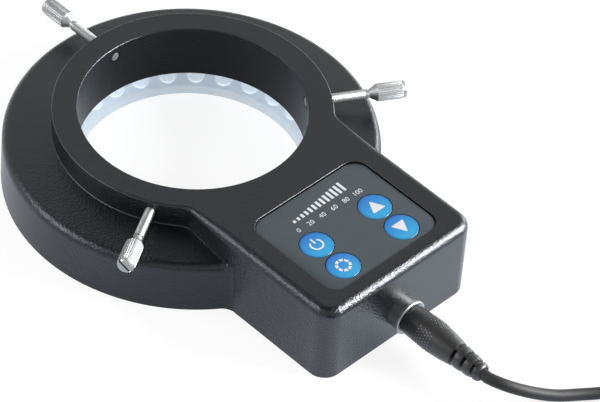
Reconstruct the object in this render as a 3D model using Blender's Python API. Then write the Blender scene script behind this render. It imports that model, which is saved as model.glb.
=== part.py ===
"""Ring light for a stereo microscope, in metres, +Z up, standing on Z = 0.

A keyhole-shaped casting carries a clamping collar, a round lamp flange and a control box.
Everything is laid out from the ring's axis, then moved along X as one so that the origin
lies under the middle of the object.
"""

import math

import bmesh
import bpy
from mathutils import Matrix, Vector
from mathutils.geometry import intersect_point_line

# Fits shared by all pieces
SEAT_GAP = 0.0003
FUSE_DEPTH = 0.0005
OVERRUN = 0.002
EDGE_LAND = 0.0008

# Housing casting
FLANGE_RADIUS = 0.0506
RING_BAND = 0.0201
BORE_EDGE = 0.0003
COLLAR_WALL = 0.0068
COLLAR_RISE = 0.007
COLLAR_EDGE = 0.0005
HEIGHT = 0.024
FLANGE_DRAFT = 0.0003
FLANGE_FALL = 0.0018
FLANGE_EDGE = 0.0026
BOX_WIDTH = 0.053
BOX_PROUD = 0.0277
BOX_CORNER = 0.005
BOX_EDGE = 0.0026
BOX_EDGE_SPREAD = 0.012
BOX_EDGE_SHARES = (0.4, 0.6, 0.8, 1.0)
JUNCTION_FILLET = 0.0045
JUNCTION_INSET = 0.00006
WALL = 0.0026
ROOF = 0.0027
SKIRT_WALL = 0.0015
SKIRT_BOTTOM = 0.008

# Lamp cover
COVER_WALL = 0.0012
COVER_FLOOR = 0.0012
COVER_LIP = 0.00015

# Lamps and their ring board
LAMP_RADIUS = 0.0025
LAMP_DOME_SHARE = 0.8
INNER_LAMPS = 28
OUTER_LAMPS = 32
LAMP_ROW_STEP = 0.0056
BOARD_THICKNESS = 0.0016
RING_BOARD_RIM = 0.00225
RING_BOARD_ROOM = 0.0013
COVER_POST_STEPS = (4.5, 12.5)
LAMP_BOSS_STEPS = (6.5, 14.5)
LAMP_BOSS_LENGTH = 0.0018

# Small screws: shank radius, head radius, head height, length
M2_SCREW = (0.001, 0.0019, 0.0012, 0.0042)
M2_SUNK_SCREW = (0.001, 0.0019, 0.0009, 0.0058)
M25_SCREW = (0.00125, 0.0022, 0.0013, 0.006)
M25_SUNK_SCREW = (0.00125, 0.0023, 0.0012, 0.0075)
BOSS_WALL = 0.0011

# Bottom plate of the control box
PLATE_THICKNESS = 0.002

# Keypad
PANEL_START_MARGIN = 0.004
PANEL_END_MARGIN = 0.0051
PANEL_SIDE_MARGIN = 0.00715
PANEL_CORNER = 0.0045
PANEL_DEPTH = 0.0013
FILM_THICKNESS = 0.0005
FILM_GAP = 0.0002
KEY_RADIUS = 0.00445
KEY_CROWN = 0.0001
KEY_CROWN_SHARE = 0.8
KEY_REST_GAP = 0.0001
KEY_TRAVEL = 0.0003
KEY_PITCH = 0.0097
KEY_END_MARGIN = 0.00614
KEY_SIDE_MARGIN = 0.00891
STEM_RADIUS = 0.0015

# Control board and what it carries
CONTROL_SIDE_GAP = 0.0015
CONTROL_END_GAP = 0.0046
SWITCH_SIDE = 0.006
SWITCH_HEIGHT = 0.0032
PLUNGER_RADIUS = 0.00175
PLUNGER_HEIGHT = 0.0017
PLUNGER_PROUD = 0.0005
PLUNGER_ROOM = 0.0025
CHIP_SIZE = (0.0065, 0.0039, 0.0015)
CAPACITOR_RADIUS = 0.00315
CAPACITOR_HEIGHT = 0.0068
CHOKE_RADIUS = 0.0034
CHOKE_HEIGHT = 0.0042
CHOKE_WAIST_SHARE = 0.7
CONNECTOR_SIZE = (0.0045, 0.0075, 0.0018)
CONNECTOR_INSET = 0.0011
HARNESS_RADIUS = 0.0006
HARNESS_STEPS = 8

# Supply socket
JACK_HEIGHT_SHARE = 5 / 9
BARREL_RADIUS = 0.0045
BARREL_PROUD = 0.0041
BARREL_INSIDE = 0.006
LIP_RADIUS = 0.00495
LIP_LENGTH = 0.0007
SOCKET_RADIUS = 0.0031
JACK_BODY_LENGTH = 0.0105
JACK_BODY_ROOM = 0.001
CONTACT_RADIUS = 0.001
CONTACT_LENGTH = 0.0125
CONTACT_SEAT = 0.003
NUT_ACROSS_FLATS = 0.0105
NUT_THICKNESS = 0.0018

# Clamping screws
CLAMP_ANGLES = (180, 60, -60)
CLAMP_SLOT_ANGLES = (20, 65, 44)
SHANK_RADIUS = 0.00125
NECK_RADIUS = 0.00105
NECK_LENGTH = 0.0016
TIP_LENGTH = 0.0013
SHANK_LENGTH = 0.0163
SHOULDER_LENGTH = 0.0015
SHOULDER_RADIUS = 0.0021
HEAD_RADIUS = 0.0024
HEAD_LENGTH = 0.0083
HEAD_CHAMFER = 0.0003
KNURL_DEPTH = 0.00018
KNURL_RIDGES = 16
SLOT_WIDTH = 0.0006
SLOT_DEPTH = 0.0009

# Plug on the lead. Its shares are of its length and of its largest radius.
SLEEVE_RADIUS = 0.00275
SLEEVE_BORE = 0.0014
SLEEVE_LENGTH = 0.0092
PLUG_LENGTH = 0.0251
PLUG_RADIUS = 0.00433
PLUG_SHARES = ((0, 0.88), (0.02, 0.94), (0.3, 1), (0.4, 0.97), (0.52, 0.9), (0.61, 0.81),
               (0.73, 0.715), (0.86, 0.655), (0.97, 0.555), (1, 0.5))
RELIEF_SLOTS = 3
RELIEF_SIDES = 2
RELIEF_TURN = 103
RELIEF_SLOT_START = 0.01675
RELIEF_SLOT_PITCH = 0.0032
RELIEF_SLOT = 0.0009
RELIEF_RIB_ANGLE = 22
RELIEF_CORE_RADIUS = 0.0019
RELIEF_STEPS = 10

# Supply cord. The stops of its two free stretches are laid by hand, from the ring's axis.
CORD_RADIUS = 0.0016
CORD_POINT_STEP = 0.0072
LEAST_CORD_GAP = 0.0004
RUN_STOPS = (
    (0.1134, 0.0006, 0.0086), (0.1156, 0.0023, 0.0077), (0.1179, 0.0052, 0.0063), (0.1202, 0.0092, 0.0046),
    (0.1225, 0.0137, 0.0031), (0.1250, 0.0184, 0.0020), (0.1278, 0.0231, 0.0016), (0.1324, 0.0304, 0.0016),
    (0.1376, 0.0387, 0.0016), (0.1429, 0.0473, 0.0018),
)
TAIL_STOPS = (
    (0.1806, 0.0250, 0.0109), (0.1763, 0.0180, 0.0060), (0.1716, 0.0112, 0.0026), (0.1664, 0.0050, 0.0016),
    (0.1605, -0.0008, 0.0020), (0.1548, -0.0064, 0.0041), (0.1499, -0.0126, 0.0078), (0.1462, -0.0188, 0.0116),
    (0.1445, -0.0232, 0.0135),
)

# Coil of the spare cord, and its tie
COIL_CENTRE = (0.1688, 0.047)
COIL_START_ANGLE = 148
COIL_RADIUS = 0.022
COIL_LAYERS = 4
COIL_TURNS = 3
COIL_SPACING = 0.0005
LOOP_POINTS = 24
TIE_THICKNESS = 0.0008
TIE_WIDTH = 0.006
TIE_ANGLE = 55

# Plug-in supply at the cord's far end
ADAPTER_PLACE = (0.144, -0.04)
ADAPTER_LENGTH = 0.062
ADAPTER_DEPTH = 0.038
ADAPTER_HEIGHT = 0.028
ADAPTER_CORNER = 0.004
ADAPTER_EDGE = 0.0015
ADAPTER_WALL = 0.002
ADAPTER_CAP_DEPTH = 0.015
ADAPTER_RELIEF_LENGTH = 0.012
ADAPTER_RELIEF_RADIUS = 0.0034
ADAPTER_RELIEF_TIP = 0.0023
TRANSFORMER_SIZE = (0.019, 0.03, 0.02)
MAINS_PIN_RADIUS = 0.002
MAINS_PIN_LENGTH = 0.019
MAINS_PIN_SPACING = 0.0186

# Fineness of round shapes
RING_STEPS = 60
DISC_STEPS = 24
SMALL_STEPS = 8
LAMP_STEPS = 6
EDGE_STEPS = 3
CORNER_STEPS = 4
KEYHOLE_STEPS = 23
SHARP_ANGLE = 35
MERGE_DISTANCE = 0.0000001

# Worked out from the sizes above: housing
BORE_RADIUS = FLANGE_RADIUS - RING_BAND
BOX_REACH = FLANGE_RADIUS + BOX_PROUD
COLLAR_RADIUS = BORE_RADIUS + COLLAR_WALL
STEP_HEIGHT = HEIGHT - COLLAR_RISE
RIM_HEIGHT = STEP_HEIGHT - FLANGE_FALL
FLANGE_REACH = FLANGE_RADIUS + BOX_EDGE_SPREAD + BOX_CORNER
CHANNEL_INNER = BORE_RADIUS + SKIRT_WALL
CHANNEL_OUTER = FLANGE_RADIUS - WALL
BOX_HALF = BOX_WIDTH / 2
CAVITY_START = COLLAR_RADIUS + WALL
CAVITY_END = BOX_REACH - WALL
CAVITY_HALF = BOX_HALF - WALL
CAVITY_ROOF = HEIGHT - ROOF
RECESS_FLOOR = HEIGHT - PANEL_DEPTH
PANEL_START = COLLAR_RADIUS + PANEL_START_MARGIN
PANEL_END = BOX_REACH - PANEL_END_MARGIN
PANEL_HALF = BOX_HALF - PANEL_SIDE_MARGIN
FILM_BOTTOM = RECESS_FLOOR + SEAT_GAP
FILM_TOP = FILM_BOTTOM + FILM_THICKNESS

# Worked out: lamps, their board and its fixings
COVER_OUTER = CHANNEL_OUTER - SEAT_GAP
LAMP_TIP = COVER_FLOOR + SEAT_GAP
RING_BOARD_TOP = RIM_HEIGHT - ROOF - RING_BOARD_ROOM
RING_BOARD_BOTTOM = RING_BOARD_TOP - BOARD_THICKNESS
INNER_LAMP_CIRCLE = BORE_RADIUS + COVER_LIP + COVER_WALL + SEAT_GAP + LAMP_RADIUS
OUTER_LAMP_CIRCLE = INNER_LAMP_CIRCLE + LAMP_ROW_STEP
RING_BOARD_INNER = CHANNEL_INNER + SEAT_GAP
RING_BOARD_OUTER = OUTER_LAMP_CIRCLE + LAMP_RADIUS + RING_BOARD_RIM
LAMP_ROOF = RING_BOARD_TOP + SEAT_GAP + LAMP_BOSS_LENGTH
LAMP_PITCH = 2 * math.pi / OUTER_LAMPS
COVER_POST_RADIUS = M2_SUNK_SCREW[0] + SEAT_GAP + BOSS_WALL
COVER_POST_CIRCLE = COVER_OUTER - EDGE_LAND - SEAT_GAP - M2_SUNK_SCREW[1]
LAMP_BOSS_CIRCLE = RING_BOARD_OUTER - EDGE_LAND - SEAT_GAP - M2_SCREW[0]
LAMP_SCREW_BASE = RING_BOARD_BOTTOM - SEAT_GAP - M2_SCREW[2]

# Worked out: control box
PLATE_POST_RADIUS = M25_SUNK_SCREW[0] + SEAT_GAP + BOSS_WALL
PLATE_POST_INSET = SEAT_GAP + EDGE_LAND + SEAT_GAP + M25_SUNK_SCREW[1]
PLATE_POST_Y = CAVITY_HALF - PLATE_POST_INSET
PLATE_POST_FAR_X = CAVITY_END - PLATE_POST_INSET
PLATE_POST_NEAR_X = math.sqrt((FLANGE_RADIUS + PLATE_POST_INSET) ** 2 - PLATE_POST_Y ** 2)
SWITCH_BOTTOM = RECESS_FLOOR - PLUNGER_ROOM - PLUNGER_PROUD - SWITCH_HEIGHT
CONTROL_TOP = SWITCH_BOTTOM - SEAT_GAP
CONTROL_BOTTOM = CONTROL_TOP - BOARD_THICKNESS
CONTROL_START = PANEL_START + SEAT_GAP
CONTROL_END = CAVITY_END - CONTROL_END_GAP
CONTROL_HALF = PLATE_POST_Y - PLATE_POST_RADIUS - CONTROL_SIDE_GAP
CONTROL_BOSS_RADIUS = M25_SCREW[0] + SEAT_GAP + BOSS_WALL
CONNECTOR_END = CONTROL_START + CONNECTOR_INSET + CONNECTOR_SIZE[0]
CONTROL_SCREW_BASE = CONTROL_BOTTOM - SEAT_GAP - M25_SCREW[2]
FAR_KEY_X = PANEL_END - KEY_END_MARGIN
NEAR_KEY_X = FAR_KEY_X - KEY_PITCH
KEY_Y = PANEL_HALF - KEY_SIDE_MARGIN
SWITCH_TOP = SWITCH_BOTTOM + SWITCH_HEIGHT
PLUNGER_TOP = SWITCH_TOP + PLUNGER_PROUD
PLUNGER_FOOT = PLUNGER_TOP - PLUNGER_HEIGHT
KEY_TOP = FILM_TOP + KEY_CROWN

# Worked out: socket, plug, cord and plug-in supply
LIP_END = BOX_REACH + BARREL_PROUD
BARREL_START = CAVITY_END - BARREL_INSIDE
JACK_BODY_END = BARREL_START - SEAT_GAP
JACK_BODY_START = JACK_BODY_END - JACK_BODY_LENGTH
JACK_HEIGHT = PLATE_THICKNESS + (CONTROL_BOTTOM - PLATE_THICKNESS) * JACK_HEIGHT_SHARE
JACK_BODY_SIDE = 2 * (CONTROL_BOTTOM - JACK_BODY_ROOM - JACK_HEIGHT)
NUT_END = CAVITY_END - SEAT_GAP
PLUG_START = LIP_END + SEAT_GAP
CORD_DIAMETER = 2 * CORD_RADIUS
LOOP_PITCH = CORD_DIAMETER + COIL_SPACING
COIL_BASE = TIE_THICKNESS + SEAT_GAP + CORD_RADIUS
COIL_INNER = COIL_RADIUS - (COIL_TURNS + 0.25) * LOOP_PITCH
COIL_OUTER = COIL_RADIUS + LOOP_PITCH / 4
ADAPTER_LOW_X = ADAPTER_PLACE[0] - ADAPTER_DEPTH / 2
ADAPTER_HIGH_X = ADAPTER_PLACE[0] + ADAPTER_DEPTH / 2
ADAPTER_FACE = ADAPTER_PLACE[1] - SEAT_GAP

# Worked out: clamping screws, and the shift that puts the origin under the middle
CLAMP_HEIGHT = HEIGHT - COLLAR_RISE / 2
CLAMP_END = TIP_LENGTH + SEAT_GAP + SHANK_LENGTH + SHOULDER_LENGTH + HEAD_LENGTH
RING_X = (BORE_RADIUS + CLAMP_END - LIP_END) / 2

KEY_PLACES = {
    "power": (NEAR_KEY_X, -KEY_Y, 0),
    "mode": (FAR_KEY_X, -KEY_Y, 0),
    "up": (NEAR_KEY_X, KEY_Y, 0),
    "down": (FAR_KEY_X, KEY_Y, 0),
}
PLATE_POSTS = [(x, side * PLATE_POST_Y, 0) for x in (PLATE_POST_NEAR_X, PLATE_POST_FAR_X) for side in (1, -1)]
CONTROL_BOSSES = [
    (CONTROL_START + CONTROL_BOSS_RADIUS, CONTROL_HALF - CONTROL_BOSS_RADIUS, 0),
    (CONTROL_START + CONTROL_BOSS_RADIUS, CONTROL_BOSS_RADIUS - CONTROL_HALF, 0),
    ((CONNECTOR_END + JACK_BODY_START) / 2, 0, 0),
]
ALONG_X = (0, math.pi / 2, 0)
JACK_AXIS = (0, 0, JACK_HEIGHT)

# Finishes: colour, roughness, metallic
FINISHES = {
    "black_paint": ((0.045, 0.046, 0.05), 0.42, 0.0),
    "nickel": ((0.74, 0.73, 0.70), 0.25, 1.0),
    "steel": ((0.55, 0.55, 0.56), 0.35, 1.0),
    "slate_film": ((0.075, 0.10, 0.115), 0.35, 0.0),
    "blue_key": ((0.02, 0.26, 0.80), 0.35, 0.0),
    "frosted_cover": ((0.80, 0.86, 0.95), 0.30, 0.0),
    "lamp_board": ((0.82, 0.84, 0.86), 0.40, 0.0),
    "circuit_board": ((0.02, 0.16, 0.07), 0.45, 0.0),
    "black_plastic": ((0.03, 0.03, 0.032), 0.5, 0.0),
    "white_nylon": ((0.80, 0.80, 0.76), 0.5, 0.0),
    "cord_jacket": ((0.035, 0.035, 0.038), 0.5, 0.0),
    "red_lead": ((0.60, 0.03, 0.02), 0.5, 0.0),
    "capacitor_sleeve": ((0.05, 0.06, 0.16), 0.3, 0.0),
}


def clear_scene():
    """Empties the scene that the script starts in."""
    for old in list(bpy.data.objects):
        bpy.data.objects.remove(old)


def add_empty(name, location, rotation=(0, 0, 0), parent=None):
    """A frame that carries pieces."""
    empty = bpy.data.objects.new(name, None)
    bpy.context.scene.collection.objects.link(empty)
    empty.location = location
    empty.rotation_euler = rotation
    empty.parent = parent
    return empty


clear_scene()
RING_FRAME = add_empty("ring_frame", (RING_X, 0, 0))


def finish_material(name, colour, roughness, metallic):
    """One Principled material, with the finish of one sub-part."""
    material = bpy.data.materials.new(name)
    material.use_nodes = True
    shader = material.node_tree.nodes["Principled BSDF"]
    shader.inputs["Base Color"].default_value = (*colour, 1)
    shader.inputs["Roughness"].default_value = roughness
    shader.inputs["Metallic"].default_value = metallic
    material.diffuse_color = (*colour, 1)
    return material


def place(name, data, finish, location=(0, 0, 0), rotation=(0, 0, 0), parent=None):
    """Adds an object that a frame carries, as a rule the one on the ring's axis."""
    obj = bpy.data.objects.new(name, data)
    bpy.context.scene.collection.objects.link(obj)
    obj.location = location
    obj.rotation_euler = rotation
    obj.parent = parent or RING_FRAME
    if finish:
        data.materials.append(finish_material(name + "_finish", *FINISHES[finish]))
    if isinstance(data, bpy.types.Mesh):
        data.shade_smooth()
        data.set_sharp_from_angle(angle=math.radians(SHARP_ANGLE))
    return obj


def combine(target, operation, data, location=(0, 0, 0), rotation=(0, 0, 0), parent=None):
    """Cuts a helper shape out of the target or fuses it on, with an exact Boolean."""
    tool = place("helper_" + data.name, data, None, location, rotation, parent)
    tool.hide_render = True
    tool.display_type = "WIRE"
    modifier = target.modifiers.new(tool.name, "BOOLEAN")
    modifier.operation = operation
    modifier.object = tool
    modifier.solver = "EXACT"


def cut(target, data, *where):
    combine(target, "DIFFERENCE", data, *where)


def fuse(target, data, *where):
    combine(target, "UNION", data, *where)


def mesh_from(bm, name):
    """Closes a bmesh into a mesh whose faces point out."""
    bmesh.ops.remove_doubles(bm, verts=bm.verts, dist=MERGE_DISTANCE)
    bmesh.ops.recalc_face_normals(bm, faces=bm.faces)
    mesh = bpy.data.meshes.new(name)
    bm.to_mesh(mesh)
    bm.free()
    return mesh


def shift(bm, items, spot):
    """Moves the points among some parts of a bmesh."""
    bmesh.ops.translate(bm, verts=[item for item in items if isinstance(item, bmesh.types.BMVert)], vec=spot)


def lathe(name, profile, steps, places=((0, 0, 0),)):
    """Turns (radius, height) points about Z, at one place or more. A profile off the axis makes a ring."""
    bm = bmesh.new()
    points = profile + profile[:1] if profile[0][0] > 0 else profile
    verts = [bm.verts.new((radius, 0, height)) for radius, height in points]
    edges = [bm.edges.new(pair) for pair in zip(verts, verts[1:])]
    bmesh.ops.spin(bm, geom=verts + edges, axis=(0, 0, 1), angle=2 * math.pi, steps=steps, use_merge=True)
    bmesh.ops.remove_doubles(bm, verts=bm.verts, dist=MERGE_DISTANCE)
    shape = bm.verts[:] + bm.edges[:] + bm.faces[:]
    for spot in places[1:]:
        shift(bm, bmesh.ops.duplicate(bm, geom=shape)["geom"], spot)
    shift(bm, shape, places[0])
    return mesh_from(bm, name)


def cylinder(name, radius, bottom, top, steps, places=((0, 0, 0),)):
    return lathe(name, [(0, bottom), (radius, bottom), (radius, top), (0, top)], steps, places)


def loft(name, rings):
    """Skins rings of equally many points and closes both ends."""
    bm = bmesh.new()
    rows = [[bm.verts.new(point) for point in ring] for ring in rings]
    for lower, upper in zip(rows, rows[1:]):
        for i, vert in enumerate(lower):
            bm.faces.new((lower[i - 1], vert, upper[i], upper[i - 1]))
    bm.faces.new(rows[0])
    bm.faces.new(rows[-1])
    return mesh_from(bm, name)


def prism(name, outline, bottom, top):
    """An outline in X and Y, with a height."""
    return loft(name, [[(x, y, height) for x, y in outline] for height in (bottom, top)])


def blocks(name, sizes_and_centres, turns=(0,)):
    """Boxes as one mesh, repeated at each turn about Z."""
    bm = bmesh.new()
    for turn in turns:
        for size, centre in sizes_and_centres:
            matrix = Matrix.Rotation(turn, 4, "Z") @ Matrix.Translation(centre) @ Matrix.Diagonal((*size, 1))
            bmesh.ops.create_cube(bm, size=1, matrix=matrix)
    return mesh_from(bm, name)


def arc(centre, radius, start, end, steps):
    """Points on an arc in X and Y, ends included. Angles are in radians."""
    angles = [start + (end - start) * step / steps for step in range(steps + 1)]
    return [(centre[0] + radius * math.cos(angle), centre[1] + radius * math.sin(angle)) for angle in angles]


def rounded_rectangle(low, high, radius):
    """Outline of a rectangle between two corners, with rounded corners."""
    quarter = math.pi / 2
    outline = arc((high[0] - radius, low[1] + radius), radius, -quarter, 0, CORNER_STEPS)
    outline += arc((high[0] - radius, high[1] - radius), radius, 0, quarter, CORNER_STEPS)
    outline += arc((low[0] + radius, high[1] - radius), radius, quarter, 2 * quarter, CORNER_STEPS)
    outline += arc((low[0] + radius, low[1] + radius), radius, 2 * quarter, 3 * quarter, CORNER_STEPS)
    return outline


def on_circle(radius, angle, height=0):
    return (radius * math.cos(angle), radius * math.sin(angle), height)


def fixing_places(circle, lamp_steps):
    """Places between the outer lamps, on both sides of the box."""
    return [on_circle(circle, side * step * LAMP_PITCH) for side in (1, -1) for step in lamp_steps]


def keyhole(ring_radius, half_width, reach):
    """Outline of a ring with a box on its +X side, as (x, y, normal x, normal y, box share).

    The box share is 0 round the ring and 1 along the box, and grows along the junction.
    """
    turn = math.pi / 2
    centre_x = math.sqrt((ring_radius + JUNCTION_FILLET) ** 2 - (half_width + JUNCTION_FILLET) ** 2)
    centre_y = half_width + JUNCTION_FILLET
    ring_angle = math.atan2(centre_y, centre_x)
    corner = (reach - BOX_CORNER, half_width - BOX_CORNER)
    half = []
    for x, y in arc(corner, BOX_CORNER, 0, turn, CORNER_STEPS):
        half.append((x, y, (x - corner[0]) / BOX_CORNER, (y - corner[1]) / BOX_CORNER, 1))
    last = len(BOX_EDGE_SHARES) - 1
    for step in range(last, 0, -1):
        half.append((centre_x + BOX_EDGE_SPREAD * step / last, half_width, 0, 1, BOX_EDGE_SHARES[step]))
    fillet = arc((centre_x, centre_y), JUNCTION_FILLET, -turn, ring_angle - math.pi, CORNER_STEPS)
    for step, (x, y) in enumerate(fillet):
        normal = ((centre_x - x) / JUNCTION_FILLET, (centre_y - y) / JUNCTION_FILLET)
        half.append((x, y, *normal, BOX_EDGE_SHARES[0] * (1 - step / CORNER_STEPS)))
    for x, y in arc((0, 0), ring_radius, ring_angle, math.pi, KEYHOLE_STEPS)[1:-1]:
        half.append((x, y, x / ring_radius, y / ring_radius, 0))
    mirrored = [(x, -y, normal_x, -normal_y, share) for x, y, normal_x, normal_y, share in reversed(half)]
    return half + [(-ring_radius, 0, -1, 0, 0)] + mirrored


def upper_block():
    """Collar and box under one top face, whose edge is tight on the collar and round on the box."""
    outline = keyhole(COLLAR_RADIUS, BOX_HALF, BOX_REACH)
    rings = [[(x, y, 0) for x, y, *_ in outline]]
    for step in range(EDGE_STEPS + 1):
        angle = math.pi / 2 * step / EDGE_STEPS
        ring = []
        for x, y, normal_x, normal_y, share in outline:
            edge = COLLAR_EDGE + (BOX_EDGE - COLLAR_EDGE) * share
            inset = edge * (1 - math.cos(angle))
            ring.append((x - inset * normal_x, y - inset * normal_y, HEIGHT - edge * (1 - math.sin(angle))))
        rings.append(ring)
    return loft("upper_block", rings)


def flange_block():
    """The lamp flange with its drafted wall, rounded rim and falling top, filleted to the box."""
    rim_radius = FLANGE_RADIUS - FLANGE_DRAFT
    levels = [(FLANGE_RADIUS, 0)]
    for step in range(EDGE_STEPS + 1):
        angle = math.pi / 2 * step / EDGE_STEPS
        levels.append((rim_radius - FLANGE_EDGE * (1 - math.cos(angle)),
                       RIM_HEIGHT - FLANGE_EDGE * (1 - math.sin(angle))))
    levels.append((COLLAR_RADIUS - FUSE_DEPTH, STEP_HEIGHT))
    rings = []
    for radius, height in levels:
        outline = keyhole(radius, BOX_HALF - JUNCTION_INSET, FLANGE_REACH)
        rings.append([(x, y, height) for x, y, *_ in outline])
    return loft("flange_block", rings)


def cut_cavities(housing):
    """The bore with the lamp channel and its window under the skirt, turned as one, and the box's inside."""
    turned = [(0, -OVERRUN), (CHANNEL_OUTER, -OVERRUN), (CHANNEL_OUTER, LAMP_ROOF), (CHANNEL_INNER, LAMP_ROOF),
              (CHANNEL_INNER, SKIRT_BOTTOM), (BORE_RADIUS, SKIRT_BOTTOM), (BORE_RADIUS, HEIGHT - BORE_EDGE),
              (BORE_RADIUS + BORE_EDGE + OVERRUN, HEIGHT + OVERRUN), (0, HEIGHT + OVERRUN)]
    cut(housing, lathe("turned_inside", turned, RING_STEPS))
    inside = rounded_rectangle((CAVITY_START, -CAVITY_HALF), (CAVITY_END, CAVITY_HALF), BOX_CORNER - WALL)
    cut(housing, prism("box_inside", inside, -OVERRUN, CAVITY_ROOF))


def add_rib(housing):
    """The flange's wall goes on inside the box, as a low rib between the two covers."""
    spread = math.asin((CAVITY_HALF + WALL / 2) / FLANGE_RADIUS)
    steps = RING_STEPS // 6
    outline = arc((0, 0), FLANGE_RADIUS, -spread, spread, steps)
    outline += arc((0, 0), CHANNEL_OUTER + FUSE_DEPTH, spread, -spread, steps)
    fuse(housing, prism("rib", outline, 0, LAMP_ROOF - FUSE_DEPTH))


def add_bosses(housing):
    """Posts and bosses that stand down from the roof, with pilot holes for their screws."""
    cover_places = fixing_places(COVER_POST_CIRCLE, COVER_POST_STEPS)
    lamp_places = fixing_places(LAMP_BOSS_CIRCLE, LAMP_BOSS_STEPS)
    groups = (
        ("plate_post", PLATE_POST_RADIUS, PLATE_THICKNESS, CAVITY_ROOF, PLATE_POSTS, M25_SUNK_SCREW, 0),
        ("cover_post", COVER_POST_RADIUS, COVER_FLOOR, LAMP_ROOF, cover_places, M2_SUNK_SCREW, 0),
        ("lamp_boss", M2_SCREW[1], RING_BOARD_TOP, LAMP_ROOF, lamp_places, M2_SCREW, LAMP_SCREW_BASE),
        ("board_boss", CONTROL_BOSS_RADIUS, CONTROL_TOP, CAVITY_ROOF, CONTROL_BOSSES, M25_SCREW,
         CONTROL_SCREW_BASE),
    )
    for name, radius, carried_top, roof, places, screw, screw_base in groups:
        foot = carried_top + SEAT_GAP
        hole = screw[0] + SEAT_GAP
        hole_end = screw_base + screw[3] + SEAT_GAP
        root = roof + FUSE_DEPTH
        profile = [(0, hole_end), (hole, hole_end), (hole, foot), (radius, foot), (radius, root), (0, root)]
        fuse(housing, lathe(name, profile, SMALL_STEPS, places))


def cut_openings(housing):
    """The keypad's recess, the key holes, the socket's hole and the clamping screws' holes."""
    recess = rounded_rectangle((PANEL_START, -PANEL_HALF), (PANEL_END, PANEL_HALF), PANEL_CORNER)
    cut(housing, prism("recess", recess, RECESS_FLOOR, HEIGHT + OVERRUN))
    cut(housing, cylinder("stem_holes", STEM_RADIUS + SEAT_GAP, CAVITY_ROOF - OVERRUN, RECESS_FLOOR + OVERRUN,
                          SMALL_STEPS, list(KEY_PLACES.values())))
    cut(housing, cylinder("socket_hole", BARREL_RADIUS + SEAT_GAP, CAVITY_END - OVERRUN, BOX_REACH + OVERRUN,
                          DISC_STEPS), JACK_AXIS, ALONG_X)
    for angle in CLAMP_ANGLES:
        hole = cylinder("clamp_hole", SHANK_RADIUS + SEAT_GAP, BORE_RADIUS - OVERRUN, COLLAR_RADIUS + OVERRUN,
                        SMALL_STEPS)
        cut(housing, hole, (0, 0, CLAMP_HEIGHT), (0, math.pi / 2, math.radians(angle)))


def make_housing():
    housing = place("upper_housing", upper_block(), "black_paint")
    fuse(housing, flange_block())
    cut_cavities(housing)
    add_rib(housing)
    add_bosses(housing)
    cut_openings(housing)


def place_screws(name, size, sunk, places, base=0):
    """Small screws that point up, with pan heads or sunk heads."""
    shank, head, head_height, length = size
    edge = head_height / 4
    if sunk:
        profile = [(0, 0), (head, 0), (shank, head_height)]
    else:
        profile = [(0, 0), (head - edge, 0), (head, edge), (head, head_height), (shank, head_height)]
    profile += [(shank, length), (0, length)]
    for number, (x, y, _) in enumerate(places, 1):
        place(f"{name}_{number}", lathe(name, profile, SMALL_STEPS), "steel", (x, y, base))


def cut_sunk_holes(cover, name, size, places):
    """Countersunk holes in a cover, a seat gap larger than the screws."""
    shank, head, head_height, length = size
    mouth = head + SEAT_GAP + (head - shank) * OVERRUN / head_height
    profile = [(0, -OVERRUN), (mouth, -OVERRUN), (shank + SEAT_GAP, head_height), (shank + SEAT_GAP, length),
               (0, length)]
    cut(cover, lathe(name, profile, SMALL_STEPS, places))


def make_lamp_cover():
    """The translucent ring that closes the lamp channel and makes the lowest part of the bore."""
    inner = BORE_RADIUS + COVER_LIP
    top = SKIRT_BOTTOM - SEAT_GAP
    profile = [(inner, 0), (COVER_OUTER, 0), (COVER_OUTER, COVER_FLOOR), (inner + COVER_WALL, COVER_FLOOR),
               (inner + COVER_WALL, top), (inner, top)]
    cover = place("diffuser_ring", lathe("diffuser_ring", profile, RING_STEPS), "frosted_cover")
    places = fixing_places(COVER_POST_CIRCLE, COVER_POST_STEPS)
    cut_sunk_holes(cover, "cover_holes", M2_SUNK_SCREW, places)
    place_screws("diffuser_screw", M2_SUNK_SCREW, True, places)


def make_lamp_board():
    """The ring board with its two rows of domed lamps soldered in, pointing down."""
    ring = [(RING_BOARD_INNER, RING_BOARD_BOTTOM), (RING_BOARD_OUTER, RING_BOARD_BOTTOM),
            (RING_BOARD_OUTER, RING_BOARD_TOP), (RING_BOARD_INNER, RING_BOARD_TOP)]
    board = place("led_board", lathe("led_board", ring, RING_STEPS), "lamp_board")
    spots = [on_circle(INNER_LAMP_CIRCLE, 2 * math.pi * (i + 0.5) / INNER_LAMPS) for i in range(INNER_LAMPS)]
    spots += [on_circle(OUTER_LAMP_CIRCLE, LAMP_PITCH * i) for i in range(OUTER_LAMPS)]
    root = RING_BOARD_BOTTOM + FUSE_DEPTH
    shoulder = LAMP_RADIUS * LAMP_DOME_SHARE
    lamp = [(0, LAMP_TIP), (shoulder, LAMP_TIP + LAMP_RADIUS - shoulder), (LAMP_RADIUS, root), (0, root)]
    fuse(board, lathe("lamps", lamp, LAMP_STEPS, spots))
    bottom = RING_BOARD_BOTTOM - OVERRUN
    top = RING_BOARD_TOP + OVERRUN
    posts = fixing_places(COVER_POST_CIRCLE, COVER_POST_STEPS)
    cut(board, cylinder("post_notches", COVER_POST_RADIUS + SEAT_GAP, bottom, top, SMALL_STEPS, posts))
    screws = fixing_places(LAMP_BOSS_CIRCLE, LAMP_BOSS_STEPS)
    cut(board, cylinder("lamp_board_holes", M2_SCREW[0] + SEAT_GAP, bottom, top, SMALL_STEPS, screws))
    place_screws("led_screw", M2_SCREW, False, screws, LAMP_SCREW_BASE)


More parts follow.
